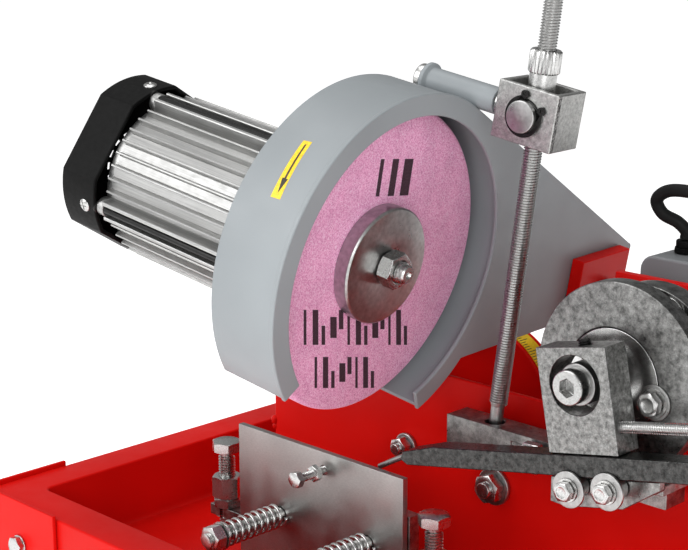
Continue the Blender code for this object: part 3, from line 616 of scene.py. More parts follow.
def make_main_body():
    foot, plate = FLOOR_TOP + GAP, 4.0
    back = PANEL_Y + 70
    outline = [(PANEL_LEFT, PANEL_Y), (PANEL_RIGHT, PANEL_Y), (PANEL_RIGHT, back)]
    outline += [(PANEL_RIGHT - plate, back), (PANEL_RIGHT - plate, PANEL_Y + plate)]
    outline += [(PANEL_LEFT + plate, PANEL_Y + plate), (PANEL_LEFT + plate, back), (PANEL_LEFT, back)]
    sheet = prism(outline, foot, PANEL_TOP, "Z")
    base = block((PANEL_LEFT + 1, PANEL_Y + 1, foot), (PANEL_RIGHT - 1, back - 1, foot + plate))
    piece("body_panel", ON_FRAME, RED, [sheet, base], (), 1.2, node="main_body")
    centre = (TILT_X, TILT_Z)
    collar = rod(18.0, PANEL_Y + 3, DISC_FRONT - GAP, "Y", centre, soft=0.8)
    piece("tilt_collar", ON_FRAME, RED, [collar])
    spindle = [rod(10.0, DISC_FRONT + GAP, 188.0, "Y", centre, soft=0.8)]
    spindle.append(hexagon(30.0, DISC_BACK + GAP, 184.0, "Y", centre))
    piece("tilt_spindle", ON_FRAME, STEEL, spindle)
    make_bead("weld_bead_1", (PANEL_LEFT - 0.6, PANEL_Y + 1.0, -166.0), 3.2)
    make_bead("weld_bead_2", (PANEL_LEFT - 0.4, PANEL_Y + 1.0, -171.0), 2.4)
    make_bead("weld_bead_3", (-205.0, 79.0, FLOOR_TOP + 1.0), 4.2)


def make_bead(name, place, size):
    """A drop of weld metal under the paint."""
    profile = [(0.0, -1.0), (0.9, -1.0), (1.0, 0.4), (0.5, 1.0), (0.0, 1.0)]
    bead = turned(profile, "Z", sides=20, soft=0.4)
    made = piece(name, ON_FRAME, RED, [bead], sharp=180.0)
    made.matrix_world = MACHINE @ Matrix.Translation(Vector(place) * MM) @ Matrix.Scale(size, 4)


def make_motor_bracket():
    foot, left, right, front = FLOOR_TOP + GAP, 100.0, 262.0, 116.0
    plate = block((left, front, foot + 5), (right, front + 6, -10.0))
    shelf = block((left, front, foot + 5), (right, front + 30, foot + 10))
    hole = rod(24.6, 100, 140, "Y", (CAM_X, CAM_Z))
    piece("gear_motor_plate", ON_FRAME, RED, [plate, shelf], [hole], 0.8, node="motor_bracket")


# ---- blade clamp ----

JAW_LEFT, JAW_RIGHT, JAW_TOP, JAW_FRONT, JAW_BACK = -124.0, 32.0, -135.5, -8.0, -3.5
REAR_JAW_FRONT = -1.8
STUDS = (("left", -82.0, -191.0), ("right", 1.0, -188.0))
RESTS = (("left", -150.0), ("right", 49.0))
REST_Y, REST_TOP = 3.0, -157.0
REST_NUTS = (("weld_nut", -205.9, -199.2, 20.0), ("long_nut", -199.0, -183.0, 0.0))
SPRING_FROM, SPRING_TO = -52.8, -1.6
SET_SCREW_AT = (-39.5, -148.0)


def make_clamp():
    foot = FLOOR_TOP + GAP
    plate = block((JAW_LEFT, REAR_JAW_FRONT, foot), (JAW_RIGHT, 8.0, -163.0))
    base = block((JAW_LEFT, REAR_JAW_FRONT, foot), (JAW_RIGHT, 40.0, foot + 6))
    lugs = block((RESTS[0][1] - 12, -3.2, -214.0), (RESTS[1][1] + 12, 10.0, -206.0))
    bores = [rod(5.3, -10, 20, "Y", (x, z)) for _, x, z in STUDS]
    bores += [rod(6.4, -230, -170, "Z", (x, REST_Y)) for _, x in RESTS]
    piece("rear_jaw_plate", ON_FRAME, MOTTLED, [plate, base, lugs], bores, 0.6, node="rear_jaw")
    for side, x in RESTS:
        for name, low, high, turn in REST_NUTS:
            nut = hexagon(19.0, low, high, "Z", (x, REST_Y), turn)
            bore = rod(6.2, low - 5, high + 5, "Z", (x, REST_Y))
            piece(name + "_" + side, ON_FRAME, STEEL, [nut], [bore])
        rest = (side + "_rest", shifted(MACHINE, x, REST_Y, REST_TOP))
        head = [hexagon(19.0, -7.5, 0, "Z", turn=25.0), rod(4.6, -60.0, -6.0, "Z")]
        piece("rest_bolt_" + side, rest, STEEL, head, node="blade_rest_" + side)
        screw = thread(6.0, 2.0, -68.0, -8.5, "Z", steps=32)
        piece("rest_thread_" + side, rest, STEEL, [screw])
    make_clamp_studs()
    make_front_jaw()


def make_clamp_studs():
    for side, x, z in STUDS:
        at = on_frame(x, 0, z)
        shapes = [rod(4.0, -72.0, 9.5, "Y", soft=0.4), rod(5.0, -56.0, -2.0, "Y")]
        piece("stud_" + side, at, STEEL, shapes, node="clamp_stud_" + side)
        screw = thread(5.0, 1.5, -76.5, -54.0, "Y")
        piece("stud_thread_" + side, at, STEEL, [screw])
        flange = turned([(0.0, -65.1), (9.4, -62.9), (9.6, -62.0), (0.0, -62.0)], "Y")
        nut = [hexagon(16.0, -72.5, -63.7, "Y", turn=15.0), flange]
        piece("stud_nut_" + side, at, STEEL, nut, [rod(4.9, -80, -50, "Y")])
        rear = hexagon(17.0, 8.3, 15.0, "Y")
        piece("stud_rear_nut_" + side, at, STEEL, [rear], [rod(4.4, 0, 20, "Y")])
        base = shifted(MACHINE, x, JAW_FRONT, z)
        spring = [coil(7.6, 1.15, SPRING_FROM, SPRING_TO, 9.0)]
        made = piece("coil_spring_" + side, (None, base), STEEL, spring, node="spring_" + side, sharp=180.0)
        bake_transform(made)


def make_front_jaw():
    jaw = ("jaw", shifted(MACHINE, 0, JAW_FRONT, 0))
    plate = block((JAW_LEFT, 0, FLOOR_TOP + 2), (JAW_RIGHT, JAW_BACK - JAW_FRONT, JAW_TOP))
    cuts = [rod(5.6, -5, 10, "Y", (x, z)) for _, x, z in STUDS]
    cuts.append(rod(3.4, -5, 10, "Y", SET_SCREW_AT))
    piece("front_jaw_plate", jaw, PLATE, [plate], cuts, 0.35, node="front_jaw")
    head = [hexagon(10.0, -27.4, -22.4, "Y", SET_SCREW_AT, 10.0)]
    piece("set_screw_head", jaw, STEEL, head, node="jaw_set_screw")
    screw = thread(3.0, 1.0, -24.0, 3.4, "Y", SET_SCREW_AT)
    piece("set_screw_thread", jaw, STEEL, [screw])
    nut = hexagon(10.0, -10.5, -6.0, "Y", SET_SCREW_AT, 40.0)
    piece("set_screw_nut", jaw, STEEL, [nut], [rod(3.1, -10, 5, "Y", SET_SCREW_AT)])


# ---- feed bar, rollers and lever ----

BAR_TOP, BAR_HIGH = -40.4, 12.4
BLOCK_HALF, BLOCK_TOP, HOLE_R = 24.5, 22.0, 17.5
ROLLERS = (("left", 161.6, -107.0), ("right", 188.1, -101.3))
ROLLER_R = 6.7


def make_feed():
    low = BAR_TOP - BAR_HIGH
    profile = [(-138.5, low), (-144.0, low + 3.5), (-141.0, low + 8.5), (-115.0, BAR_TOP)]
    profile += [(95.0, BAR_TOP), (95.0, low)]
    bar = prism(profile, -8.0, 8.0, "Y")
    piece("push_bar", ON_FEED, BAR_ZINC, [bar], (), 0.7, node="feed_bar")
    body = block((-BLOCK_HALF, -6.0, BAR_TOP + GAP), (BLOCK_HALF, 14.0, BLOCK_TOP))
    adjuster_at, grub_at = (1.0, -24.5), (4.0, 4.0)
    cuts = [rod(HOLE_R, -20, 30, "Y", sides=96), rod(4.3, 15, 30, "Z", grub_at)]
    cuts.append(rod(3.5, 14, 30, "X", adjuster_at))
    piece("drive_block", ON_FEED, BLOCK_ZINC, [body], cuts, 0.7, node="feed_block")
    make_stroke_screw()
    grub = [thread(4.0, 1.25, 18.0, 26.0, "Z", grub_at)]
    socket = hexagon(4.0, 23.0, 32.0, "Z", grub_at)
    piece("grub_screw", ON_FEED, BLACK_OXIDE, grub, [socket], node="block_grub_screw")
    needle = ("feed", shifted(FEED, -144.8, 0, BAR_TOP - 8.0, -18.6))
    profile = [(0.0, -28.5), (1.2, -28.5), (1.8, -27.5), (2.0, 3.0), (0.0, 3.0)]
    piece("pusher_needle", needle, FACED, [turned(profile, "X", sides=32)], node="feed_finger")
    adjuster = ("adjuster", shifted(FEED, BLOCK_HALF, *adjuster_at))
    screw = thread(3.3, 1.5, -8.0, 84.0, "X", steps=20)
    piece("adjuster_thread", adjuster, STEEL, [screw], node="feed_adjuster")
    neck = rod(8.0, 80.0, 89.0, "X", soft=1.0)
    piece("adjuster_neck", adjuster, STEEL, [neck])
    piece("adjuster_knob", adjuster, STEEL, knurled(14.0, 88.0, 102.0, "X", 48))


def make_stroke_screw():
    """A round bush with a socket-head screw in it, seen down the block's bore."""
    bush = [rod(12.5, -3.5, 12.0, "Y", sides=96, soft=0.8)]
    piece("stroke_bush", ON_FEED, FACED, bush, node="stroke_screw")
    head = [rod(10.4, -13.0, -3.0, "Y", sides=96, soft=1.2)]
    socket = hexagon(10.0, -20.0, -6.5, "Y", turn=20.0)
    piece("socket_head", ON_FEED, SOCKET_STEEL, head, [socket], 0.3)


def knurled(radius, start, end, axis, teeth, depth=0.55, chamfer=1.3):
    """A collar with straight knurling and turned-off ends."""
    rings = [(start, radius - chamfer, 0.0), (start + chamfer, radius, 1.0)]
    rings += [(end - chamfer, radius, 1.0), (end, radius - chamfer, 0.0)]
    steps = teeth * 4
    points = []
    for along, reach, share in rings:
        for step in range(steps):
            angle = 2 * pi * step / steps
            ridge = reach - depth * share * (0.5 + 0.5 * cos(teeth * angle))
            points.append(polar(ridge, angle, along, axis))
    return [mesh_from(points, walls(4, steps) + caps(4, steps))]


def make_rollers():
    outline = [(140.0, -123.0), (150.0, -123.6), (191.0, -114.5)]
    outline += [(214.5, -97.5), (214.5, -92.0), (140.0, -107.5)]
    plate = prism(outline, 2.4, 8.0, "Y")
    arm = block((204.0, 7.0, -102.0), (214.0, PANEL_Y - GAP, -96.0))
    holes = [rod(4.3, -5, 20, "Y", (x, z)) for _, x, z in ROLLERS]
    piece("roller_plate", ON_FRAME, MOTTLED, [plate, arm], holes, 0.6, node="roller_bracket")
    for side, x, z in ROLLERS:
        axis = shifted(MACHINE, x, 0, z)
        profile = [(11.0, -10.2), (11.0, -8.4), (ROLLER_R, -8.4)]
        profile += [(ROLLER_R, 1.6), (4.4, 1.6), (4.4, -10.2)]
        wheel = turned(profile, "Y", soft=0.35)
        seat = (side + "_roller", axis)
        piece("guide_roller_" + side, seat, FACED_BRIGHT, [wheel], node="roller_" + side)
        bolt = [hexagon(10.5, -16.6, -12.0, "Y", turn=8.0), rod(4.0, -12.0, 12.0, "Y")]
        bolt.append(turned([(0.0, -12.9), (6.9, -11.2), (7.1, -10.5), (0.0, -10.5)], "Y"))
        bolt.append(hexagon(11.0, 8.3, 13.0, "Y"))
        hollow = [(0.0, -20.0), (3.4, -20.0), (3.4, -16.1), (2.2, -15.7), (0.0, -15.7)]
        dish = turned(hollow, "Y", sides=32)
        piece("roller_bolt_" + side, (FRAME_BODY, axis), STEEL, bolt, [dish], node="roller_axle_" + side)


def make_lever():
    bar = block((-76.0, -10, -10.0), (95.0, 10, 10.0))
    cuts = [rod(6.3, -20, 20, "Y"), rod(6.6, -4, 30, "Z", (ROD_FOOT_X - LEVER_X, 0))]
    dimple = [(0.0, 7.6), (2.9, 10.2), (2.9, 14.0), (0.0, 14.0)]
    for across in (-5.0, 5.0):
        cuts += [turned(dimple, "Z", (along, across), 32) for along in (-68.0, -58.0)]
    cuts.append(block((-22.0, -11.0, -2.0), (-12.0, -8.8, 4.0)))
    piece("rocker", ON_LEVER, MOTTLED, [bar], cuts, 0.6, node="lift_lever")
    for i, spot in enumerate(((-68.0, -5.0), (-68.0, 5.0), (-58.0, -5.0), (-58.0, 5.0))):
        cup = [(0.0, 7.9), (1.5, 7.9), (1.7, 9.8), (2.6, 9.9), (2.6, 7.7), (0.0, 7.7)]
        screw = turned(cup, "Z", spot, 32)
        piece("rocker_screw_%d" % (i + 1), ON_LEVER, STEEL, [screw])
    pad = rod(9.0, -9.5, 9.5, "Y", (CAM_X - LEVER_X, 6.4), soft=0.4)
    piece("cam_follower", ON_LEVER, STEEL, [pad])
    at = on_frame(LEVER_X, 0, LEVER_Z)
    pin = [rod(6.0, 44.5, PANEL_Y - GAP, "Y", soft=0.6), hexagon(19.0, 39.5, 45.5, "Y")]
    piece("pivot_bolt", at, STEEL, pin, node="lever_pivot_pin")


# ---- camshaft and gear motor ----

DISC_FACE, STROKE_HUB, DISC_BOLT_AT = 24.3, (-3.0, -3.0), (27.0, -9.0)
SHAFT_BORE = 10.3


def make_camshaft():
    piece("shaft", ON_CRANK, STEEL, [rod(10.0, 27.0, 126.0, "Y", soft=0.8)], node="camshaft")
    pocket = rod(31.8, DISC_FACE - 5, DISC_FACE + 8.7, "Y", STROKE_HUB, 120)
    bore = rod(SHAFT_BORE, DISC_FACE, DISC_FACE + 20, "Y")
    disc = [rod(56.0, DISC_FACE, DISC_FACE + 12.0, "Y", sides=144)]
    piece("crank_plate", ON_CRANK, DISC_ZINC, disc, [pocket, bore], 0.6, node="crank_disc")
    plate = [rod(31.3, DISC_FACE, DISC_FACE + 8.4, "Y", STROKE_HUB, 120)]
    hole = [rod(SHAFT_BORE, 26.5, 40.0, "Y"), rod(4.4, DISC_FACE - 5, DISC_FACE + 20, "Y", DISC_BOLT_AT)]
    piece("inner_disc", ON_CRANK, FACED_PLATE, plate, hole, 0.3, node="stroke_plate")
    make_disc_bolt()
    cam = rod(49.0, 48.5, 64.5, "Y", (3.0, 1.6), 144)
    piece("cam_disc", ON_CRANK, DISC_ZINC, [cam], [rod(SHAFT_BORE, 40, 70, "Y")], 0.6, node="lift_cam")
    at = (18.0, 37.5)
    bolt = [hexagon(13.0, 40.8, 46.8, "Y", at, 10.0), rod(9.0, 46.6, 48.3, "Y", at, soft=0.5)]
    piece("cam_bolt", ON_CRANK, STEEL, bolt)


def make_disc_bolt():
    """A flanged hexagon bolt and its washer; the head is hollowed by forging."""
    at = DISC_BOLT_AT
    near = DISC_FACE - GAP
    flange = [(0.0, near - 4.0), (8.6, near - 1.9), (8.8, near - 1.3), (0.0, near - 1.3)]
    shapes = [hexagon(13.0, near - 8.2, near - 3.0, "Y", at, 20.0), turned(flange, "Y", at)]
    shapes.append(rod(4.0, near - 3, DISC_FACE + 7.5, "Y", at))
    hollow = [(0.0, near - 12), (4.4, near - 12), (4.4, near - 7.7), (3.0, near - 7.1), (0.0, near - 7.1)]
    piece("flange_bolt", ON_CRANK, STEEL, shapes, [turned(hollow, "Y", at)], node="disc_bolt")
    washer = sleeve(4.3, 10.4, near - 1.2, near, "Y", at, soft=0.3)
    piece("flange_bolt_washer", ON_CRANK, FACED_BRIGHT, [washer])


GEARBOX_TOP, GEARBOX_FRONT, GEARBOX_BACK, GLAND_AT = -2.0, 140.0, 200.0, (122.0, 162.0)


def make_gear_motor():
    bore = rod(10.6, 100.0, 130.0, "Y")
    outline = rounded_box(102.0, 234.0, -90.0, GEARBOX_TOP, 10.0)
    gearbox = prism(outline, GEARBOX_FRONT, GEARBOX_BACK, "Y")
    piece("gearbox", ON_FRAME, MOTOR_GREY, [gearbox], (), 2.0, node="gear_motor")
    shaft_line = (FRAME_BODY, CRANK)
    spigot = rod(24.0, 116.5, GEARBOX_FRONT + 1, "Y", sides=96, soft=0.5)
    piece("gearbox_spigot", shaft_line, MOTOR_GREY, [spigot], [bore])
    shell = [rod(42.5, GEARBOX_BACK - 1, 262.0, "Y", sides=96, soft=4.0)]
    piece("gear_motor_shell", shaft_line, MOTOR_GREY, shell)
    for i in range(6):
        rib = sleeve(42.0, 44.0, 205.0 + 9 * i, 209.0 + 9 * i, "Y", sides=96, soft=0.8)
        piece("gear_motor_rib_%d" % (i + 1), shaft_line, MOTOR_GREY, [rib])
    for i, (x, z) in enumerate(((112.0, -80.0), (112.0, -12.0), (224.0, -80.0), (224.0, -12.0))):
        at = on_frame(x, GEARBOX_BACK, z)
        screw = [rod(4.6, 0.1, 4.2, "Y", sides=48, soft=0.5)]
        socket = hexagon(4.0, 2.0, 6.0, "Y")
        piece("gearbox_screw_%d" % (i + 1), at, BLACK_OXIDE, screw, [socket])
    box = block((178.0, 142.0, 8.0), (222.0, 182.0, 50.0))
    neck = block((180.0, 156.0, -4.0), (210.0, 168.0, 12.0))
    piece("terminal_box", ON_FRAME, MOTOR_GREY, [box, neck], (), 3.5)
    lid = prism(rounded_box(180.0, 220.0, 144.0, 180.0, 4.0), 50.0, 50.6, "Z")
    piece("terminal_box_lid", ON_FRAME, MOTOR_GREY, [lid])
    for i, spot in enumerate(((185.0, 149.0), (215.0, 149.0), (185.0, 175.0), (215.0, 175.0))):
        pan_screw("terminal_screw_%d" % (i + 1), on_frame(*spot, 50.6), 2.6)
    seat = GEARBOX_TOP + GAP
    gland = [hexagon(14.0, seat, seat + 4.0, "Z", GLAND_AT)]
    gland.append(rod(6.4, seat + 3.5, seat + 8.7, "Z", GLAND_AT, soft=1.2))
    piece("cable_gland", ON_FRAME, BLACK, gland, node="lead_gland")
    make_lead(*GLAND_AT, GEARBOX_TOP + 9.0 + GAP)


def pan_screw(name, seat, radius):
    """A cross-head pan screw standing on the frame's origin along +Z."""
    profile = [(0.0, -0.8), (radius, -0.8), (radius, 0.5), (radius * 0.6, 1.5), (0.0, 1.9)]
    head = turned(profile, "Z", soft=0.3)
    arm, wide = radius * 0.62, radius * 0.13
    cross = [block((-arm, -wide, 0.7), (arm, wide, 3.0)), block((-wide, -arm, 0.7), (wide, arm, 3.0))]
    piece(name, seat, STEEL, [head], cross)


LEAD_R = 4.2


def make_lead(x, y, z):
    """The gear motor's lead, from its gland up and over in one loop into the terminal box."""
    route = [
        (x, y, z + 0.6),
        (x, y, z + 5),
        (x - 5, y - 3, z + 11),
        (x - 14, y - 7, z + 16),
        (x - 17, y - 10, z + 25),
        (x - 8, y - 11, z + 32),
        (x + 8, y - 11, z + 33.5),
        (x + 25, y - 8, z + 31),
        (x + 40, y - 6, z + 28),
        (176.5, y - 6, z + 27.5),
    ]
    points = [MACHINE @ (Vector(point) * MM) for point in smooth_route(route, 90)]
    curve = bpy.data.curves.new("motor_lead", "CURVE")
    curve.dimensions = "3D"
    curve.bevel_depth = LEAD_R * MM
    curve.bevel_resolution = 8
    curve.use_fill_caps = True
    spline = curve.splines.new("POLY")
    spline.points.add(len(points) - 1)
    for knot, point in zip(spline.points, points):
        knot.co = (*point, 1.0)
    spline.use_smooth = True
    lead = add_object("motor_lead", curve)
    curve.materials.append(RUBBER.made)
    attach(lead, FRAME_BODY)
    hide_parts("gear_motor_lead")


def smooth_route(route, count):
    """Evenly counted points on the Catmull-Rom curve through the route's own points."""
    ends = [Vector(point) for point in route]
    ends = [2 * ends[0] - ends[1]] + ends + [2 * ends[-1] - ends[-2]]
    spans = len(route) - 1
    points = []
    for i in range(count + 1):
        where = min(i * spans / count, spans - 1e-6)
        a, b, c, d = ends[int(where) : int(where) + 4]
        t = where - int(where)
        square = (2 * a - 5 * b + 4 * c - d) * t**2
        cube = (3 * b - a - 3 * c + d) * t**3
        points.append(0.5 * (2 * b + (c - a) * t + square + cube))
    return points


# ---- tilting carrier ----

TILT_R, PIVOT_AT, PIVOT_BORE = 62.0, (235.0, -58.0), 8.4


def make_carrier():
    disc = rod(TILT_R, DISC_FRONT, DISC_BACK, "Y", sides=160)
    hole = rod(10.4, 140, 190, "Y")
    piece("tilt_disc", ON_CARRIER, RED, [disc], [hole], 0.8, node="tilt_carrier")
    beam = block((-60.0, DISC_BACK - 1, -12.0), (36.0, 264.0, 8.0))
    nut_room = rod(20.0, DISC_BACK - 5, DISC_BACK + 22, "Y")
    piece("tilt_beam", ON_CARRIER, RED, [beam], [nut_room], 0.8)
    for side, low, high in (("front", 25.4, 35.2), ("rear", -52.0, -42.0)):
        cheek = block((low, 202.0, -146.0), (high, 265.0, -27.0))
        hole = rod(PIVOT_BORE, -80, 80, "X", PIVOT_AT)
        piece("fork_" + side, ("carrier", HEAD), RED, [cheek], [hole], 0.8)
    band = arc(TILT_R + GAP, 25, 155, 90) + arc(TILT_R + GAP + 0.5, 155, 25, 90)
    strip = prism(band, DISC_FRONT + 3, DISC_FRONT + 17, "Y")
    piece("degree_scale", ON_CARRIER, YELLOW, [strip], node="tilt_scale")
    for i in range(61):
        angle = 30 + 2 * i
        tick = arc(TILT_R + GAP + 0.3, angle - 0.22, angle + 0.22, 1)
        tick += arc(TILT_R + GAP + 0.62, angle + 0.22, angle - 0.22, 1)
        reach = 9.0 if i % 5 == 0 else 5.0
        mark = prism(tick, DISC_FRONT + 3.2, DISC_FRONT + 3.2 + reach, "Y")
        piece("scale_mark_%02d" % i, ON_CARRIER, BLACK_INK, [mark])
    bolt = [rod(8.0, -58.0, 41.0, "X", PIVOT_AT, soft=0.8), hexagon(24.0, 35.6, 44.0, "X", PIVOT_AT)]
    bolt.append(hexagon(24.0, -60.0, -52.4, "X", PIVOT_AT))
    piece("hinge_bolt", ("carrier", HEAD), STEEL, bolt, node="pivot_shaft")


# ---- grinding head: axle along X, so on_axis gives (across, up) ----

GUARD_R, GUARD_HOLE_R, GUARD_FRONT, GUARD_BACK = 112.7, 99.3, 24.9, -27.0
GUARD_FROM, GUARD_TO = -68.0, 215.0
ARM_TIP_B, ARM_TIP_C, ARM_LOW_C = 285.0, -29.0, -77.0
TUBE_R, TUBE_END = 8.5, -21.0
MOTOR_TURN, MOTOR_FRONT, MOTOR_REAR = 60.0, -30.0, -183.0
MOTOR_R, FIN_R, TIE_BOLT_R = 53.0, 58.0, 59.0
COVER_R, COVER_HALF = 63.0, 56.5
COVER_FRONT, COVER_REAR = -190.0, -223.0
WHEEL_R, WHEEL_FACE, WHEEL_BACK = 100.0, 3.5, -16.5
FILM = 0.06


def make_guard():
    slope = atan2(ARM_TIP_C, ARM_TIP_B)
    reach = hypot(ARM_TIP_B, ARM_TIP_C)
    tangent = degrees(slope) + degrees(atan2(sqrt(reach**2 - GUARD_R**2), GUARD_R))
    lower = degrees(atan2(ARM_LOW_C, sqrt(GUARD_R**2 - ARM_LOW_C**2)))
    outline = arc(GUARD_R + 0.6, GUARD_TO, tangent, 110)
    outline += arc(3.0, 80, -10, 5, (ARM_TIP_B - 3.4, ARM_TIP_C - 3.2))
    outline += [(ARM_TIP_B - 14, ARM_LOW_C + 6), (ARM_TIP_B - 30, ARM_LOW_C)]
    outline += arc(GUARD_R + 0.6, lower, GUARD_FROM, 20)
    outline += arc(GUARD_HOLE_R, GUARD_FROM, GUARD_TO, 200)
    plate = prism(outline, GUARD_FRONT - SHEET, GUARD_FRONT, "X")
    shaft_hole = rod(PIVOT_BORE, -60, 40, "X", PIVOT_AT)
    piece("guard_front_plate", ON_HEAD, BLUE_GREY, [plate], [shaft_hole], 0.9, node="wheel_guard")
    first, last = GUARD_FROM + 0.7, GUARD_TO - 0.7
    band = arc(GUARD_R, first, last, 180) + arc(GUARD_R - 2.6, last, first, 180)
    wall = prism(band, GUARD_BACK + 1, GUARD_FRONT - 1, "X")
    piece("guard_drum", ON_HEAD, BLUE_GREY, [wall], (), 0.5, sharp=30.0)
    back = prism(arc(GUARD_R - 0.8, first + 0.5, last - 0.5, 180), GUARD_BACK, GUARD_BACK + SHEET, "X")
    opening = [rod(22.0, -40, 0, "X")]
    piece("guard_back_plate", ON_HEAD, BLUE_GREY, [back], opening, 0.8)
    bush = sleeve(PIVOT_BORE, 13.0, -41.7, GUARD_FRONT - 0.5, "X", PIVOT_AT, soft=0.5)
    piece("hinge_bush", ON_HEAD, BLUE_GREY, [bush])
    outline = [(95.0, -20.0), (255.0, -42.0), (255.0, -74.0), (84.0, -74.0)]
    web = prism(outline, GUARD_BACK + 0.4, GUARD_BACK + 2.6, "X")
    piece("guard_rear_web", ON_HEAD, BLUE_GREY, [web], [shaft_hole], 0.6)
    profile = [(TUBE_R, 36.0), (6.4, 36.0), (6.4, TUBE_END), (11.0, TUBE_END)]
    profile += [(11.0, -18.2), (TUBE_R, -16.5)]
    tube = turned(profile, "X", (YOKE_B, YOKE_C), 72, 0.5)
    drum_room = rod(GUARD_R + 1.0, -60, 60, "X", sides=180)
    piece("guide_tube", ON_HEAD, BLUE_GREY, [tube], [drum_room], node="guard_tube")
    make_label()


def drum_patch(corners, lift):
    """A film laid on the drum: corners are (a, degrees) in turn, the last pair running back."""
    (a0, t0), (a1, t1), (a2, t2), (a3, t3) = corners
    points, faces, steps = [], [], 14
    for level in (lift, lift + FILM):
        for i in range(steps + 1):
            s = i / steps
            for near, far in (((a0, t0), (a3, t3)), ((a1, t1), (a2, t2))):
                along = near[0] + (far[0] - near[0]) * s
                angle = radians(near[1] + (far[1] - near[1]) * s)
                radius = GUARD_R + level
                points.append((along, radius * cos(angle), radius * sin(angle)))
    per = 2 * (steps + 1)
    for i in range(steps):
        for base in (0, per):
            k = base + 2 * i
            faces.append((k, k + 1, k + 3, k + 2))
        for side in (0, 1):
            k = 2 * i + side
            faces.append((k, k + 2, per + k + 2, per + k))
    for k in (0, 2 * steps):
        faces.append((k, k + 1, per + k + 1, per + k))
    return mesh_from(points, faces)


def make_label():
    """The yellow sticker with its arrow, which shows the way the wheel turns."""
    sticker = [(-3.4, 130.7), (2.6, 130.3), (5.5, 150.3), (-1.7, 150.5)]
    shaft = [(-0.6, 131.8), (0.5, 131.7), (2.3, 144.2), (0.9, 144.2)]
    head = [(-0.5, 143.9), (3.7, 143.9), (1.95, 148.8), (1.9, 148.8)]
    piece("turn_label", ON_HEAD, YELLOW, [drum_patch(sticker, 0.05)])
    piece("turn_arrow_shaft", ON_HEAD, BLACK_INK, [drum_patch(shaft, 0.12)])
    piece("turn_arrow_head", ON_HEAD, BLACK_INK, [drum_patch(head, 0.12)])


def around(points, turn):
    """A loop of (radius, degrees) points, turned by turn degrees, as (across, up)."""
    return [(r * cos(radians(a + turn)), r * sin(radians(a + turn))) for r, a in points]


def motor_outline():
    """A round body with eight fins in each quarter and a slotted boss for each tie bolt between them."""
    quarter = []
    for fin in range(8):
        middle = 13.0 + 9.15 * fin
        quarter += [(MOTOR_R, middle - 1.5), (MOTOR_R + 0.7, middle - 1.1), (FIN_R - 0.4, middle - 0.75)]
        quarter += [(FIN_R, middle - 0.4), (FIN_R, middle + 0.4)]
        quarter += [(FIN_R - 0.4, middle + 0.75), (MOTOR_R + 0.7, middle + 1.1), (MOTOR_R, middle + 1.5)]
    quarter += [(MOTOR_R, 82.4), (53.8, 82.8), (61.4, 83.5), (62.0, 84.0), (62.0, 85.6), (61.4, 86.0)]
    quarter += [(56.2, 86.0), (55.5, 86.8), (55.5, 93.2), (56.2, 94.0), (61.4, 94.0), (62.0, 94.4)]
    quarter += [(62.0, 96.0), (61.4, 96.5), (53.8, 97.2), (MOTOR_R, 97.6)]
    loop = []
    for step in range(4):
        loop += around(quarter, MOTOR_TURN + 45 + 90 * step)
    return loop


def flatted_circle(radius, half):
    """A circle with four flats, each half away from the middle."""
    reach = degrees(acos(half / radius))
    loop, steps = [], 24
    for step in range(4):
        loop += [(radius, reach + 90 * step + (90 - 2 * reach) * i / steps) for i in range(steps + 1)]
    return around(loop, MOTOR_TURN)


def make_motor():
    body = prism(motor_outline(), MOTOR_REAR, MOTOR_FRONT, "X")
    bore = rod(8.5, MOTOR_REAR - 10, 0, "X")
    piece("motor_extrusion", ON_HEAD, ALUMINIUM, [body], [bore], node="motor_body", sharp=20.0)
    front = [rod(40.0, MOTOR_FRONT - 1, GUARD_BACK - GAP, "X", sides=96, soft=0.6)]
    front.append(rod(21.0, GUARD_BACK - 2, GUARD_BACK + 1.5, "X"))
    piece("motor_flange", ON_HEAD, ALUMINIUM, front, [bore])
    shield = [rod(52.0, MOTOR_REAR - 6.5, MOTOR_REAR - GAP, "X", sides=160, soft=0.8)]
    for i in range(4):
        angle = 45 + 90 * i
        spot, seat = around([(TIE_BOLT_R, angle), (TIE_BOLT_R - 3.5, angle)], MOTOR_TURN)
        shield.append(rod(6.5, MOTOR_REAR - 6.5, MOTOR_REAR - GAP, "X", seat, 64, 0.8))
        bolt = rod(2.4, MOTOR_REAR - GAP, MOTOR_FRONT + 2, "X", spot, soft=0.3)
        piece("tie_bolt_%d" % (i + 1), ON_HEAD, BLACK_OXIDE, [bolt])
        head = [rod(4.2, MOTOR_REAR - 8.6, MOTOR_REAR - 6.6, "X", spot, soft=0.5)]
        piece("tie_bolt_head_%d" % (i + 1), ON_HEAD, BLACK_OXIDE, head)
    hole = [rod(8.6, -200, -180, "X")]
    piece("end_shield", ON_HEAD, ALUMINIUM, shield, hole, node="motor_end_shield")
    make_fan_cover()


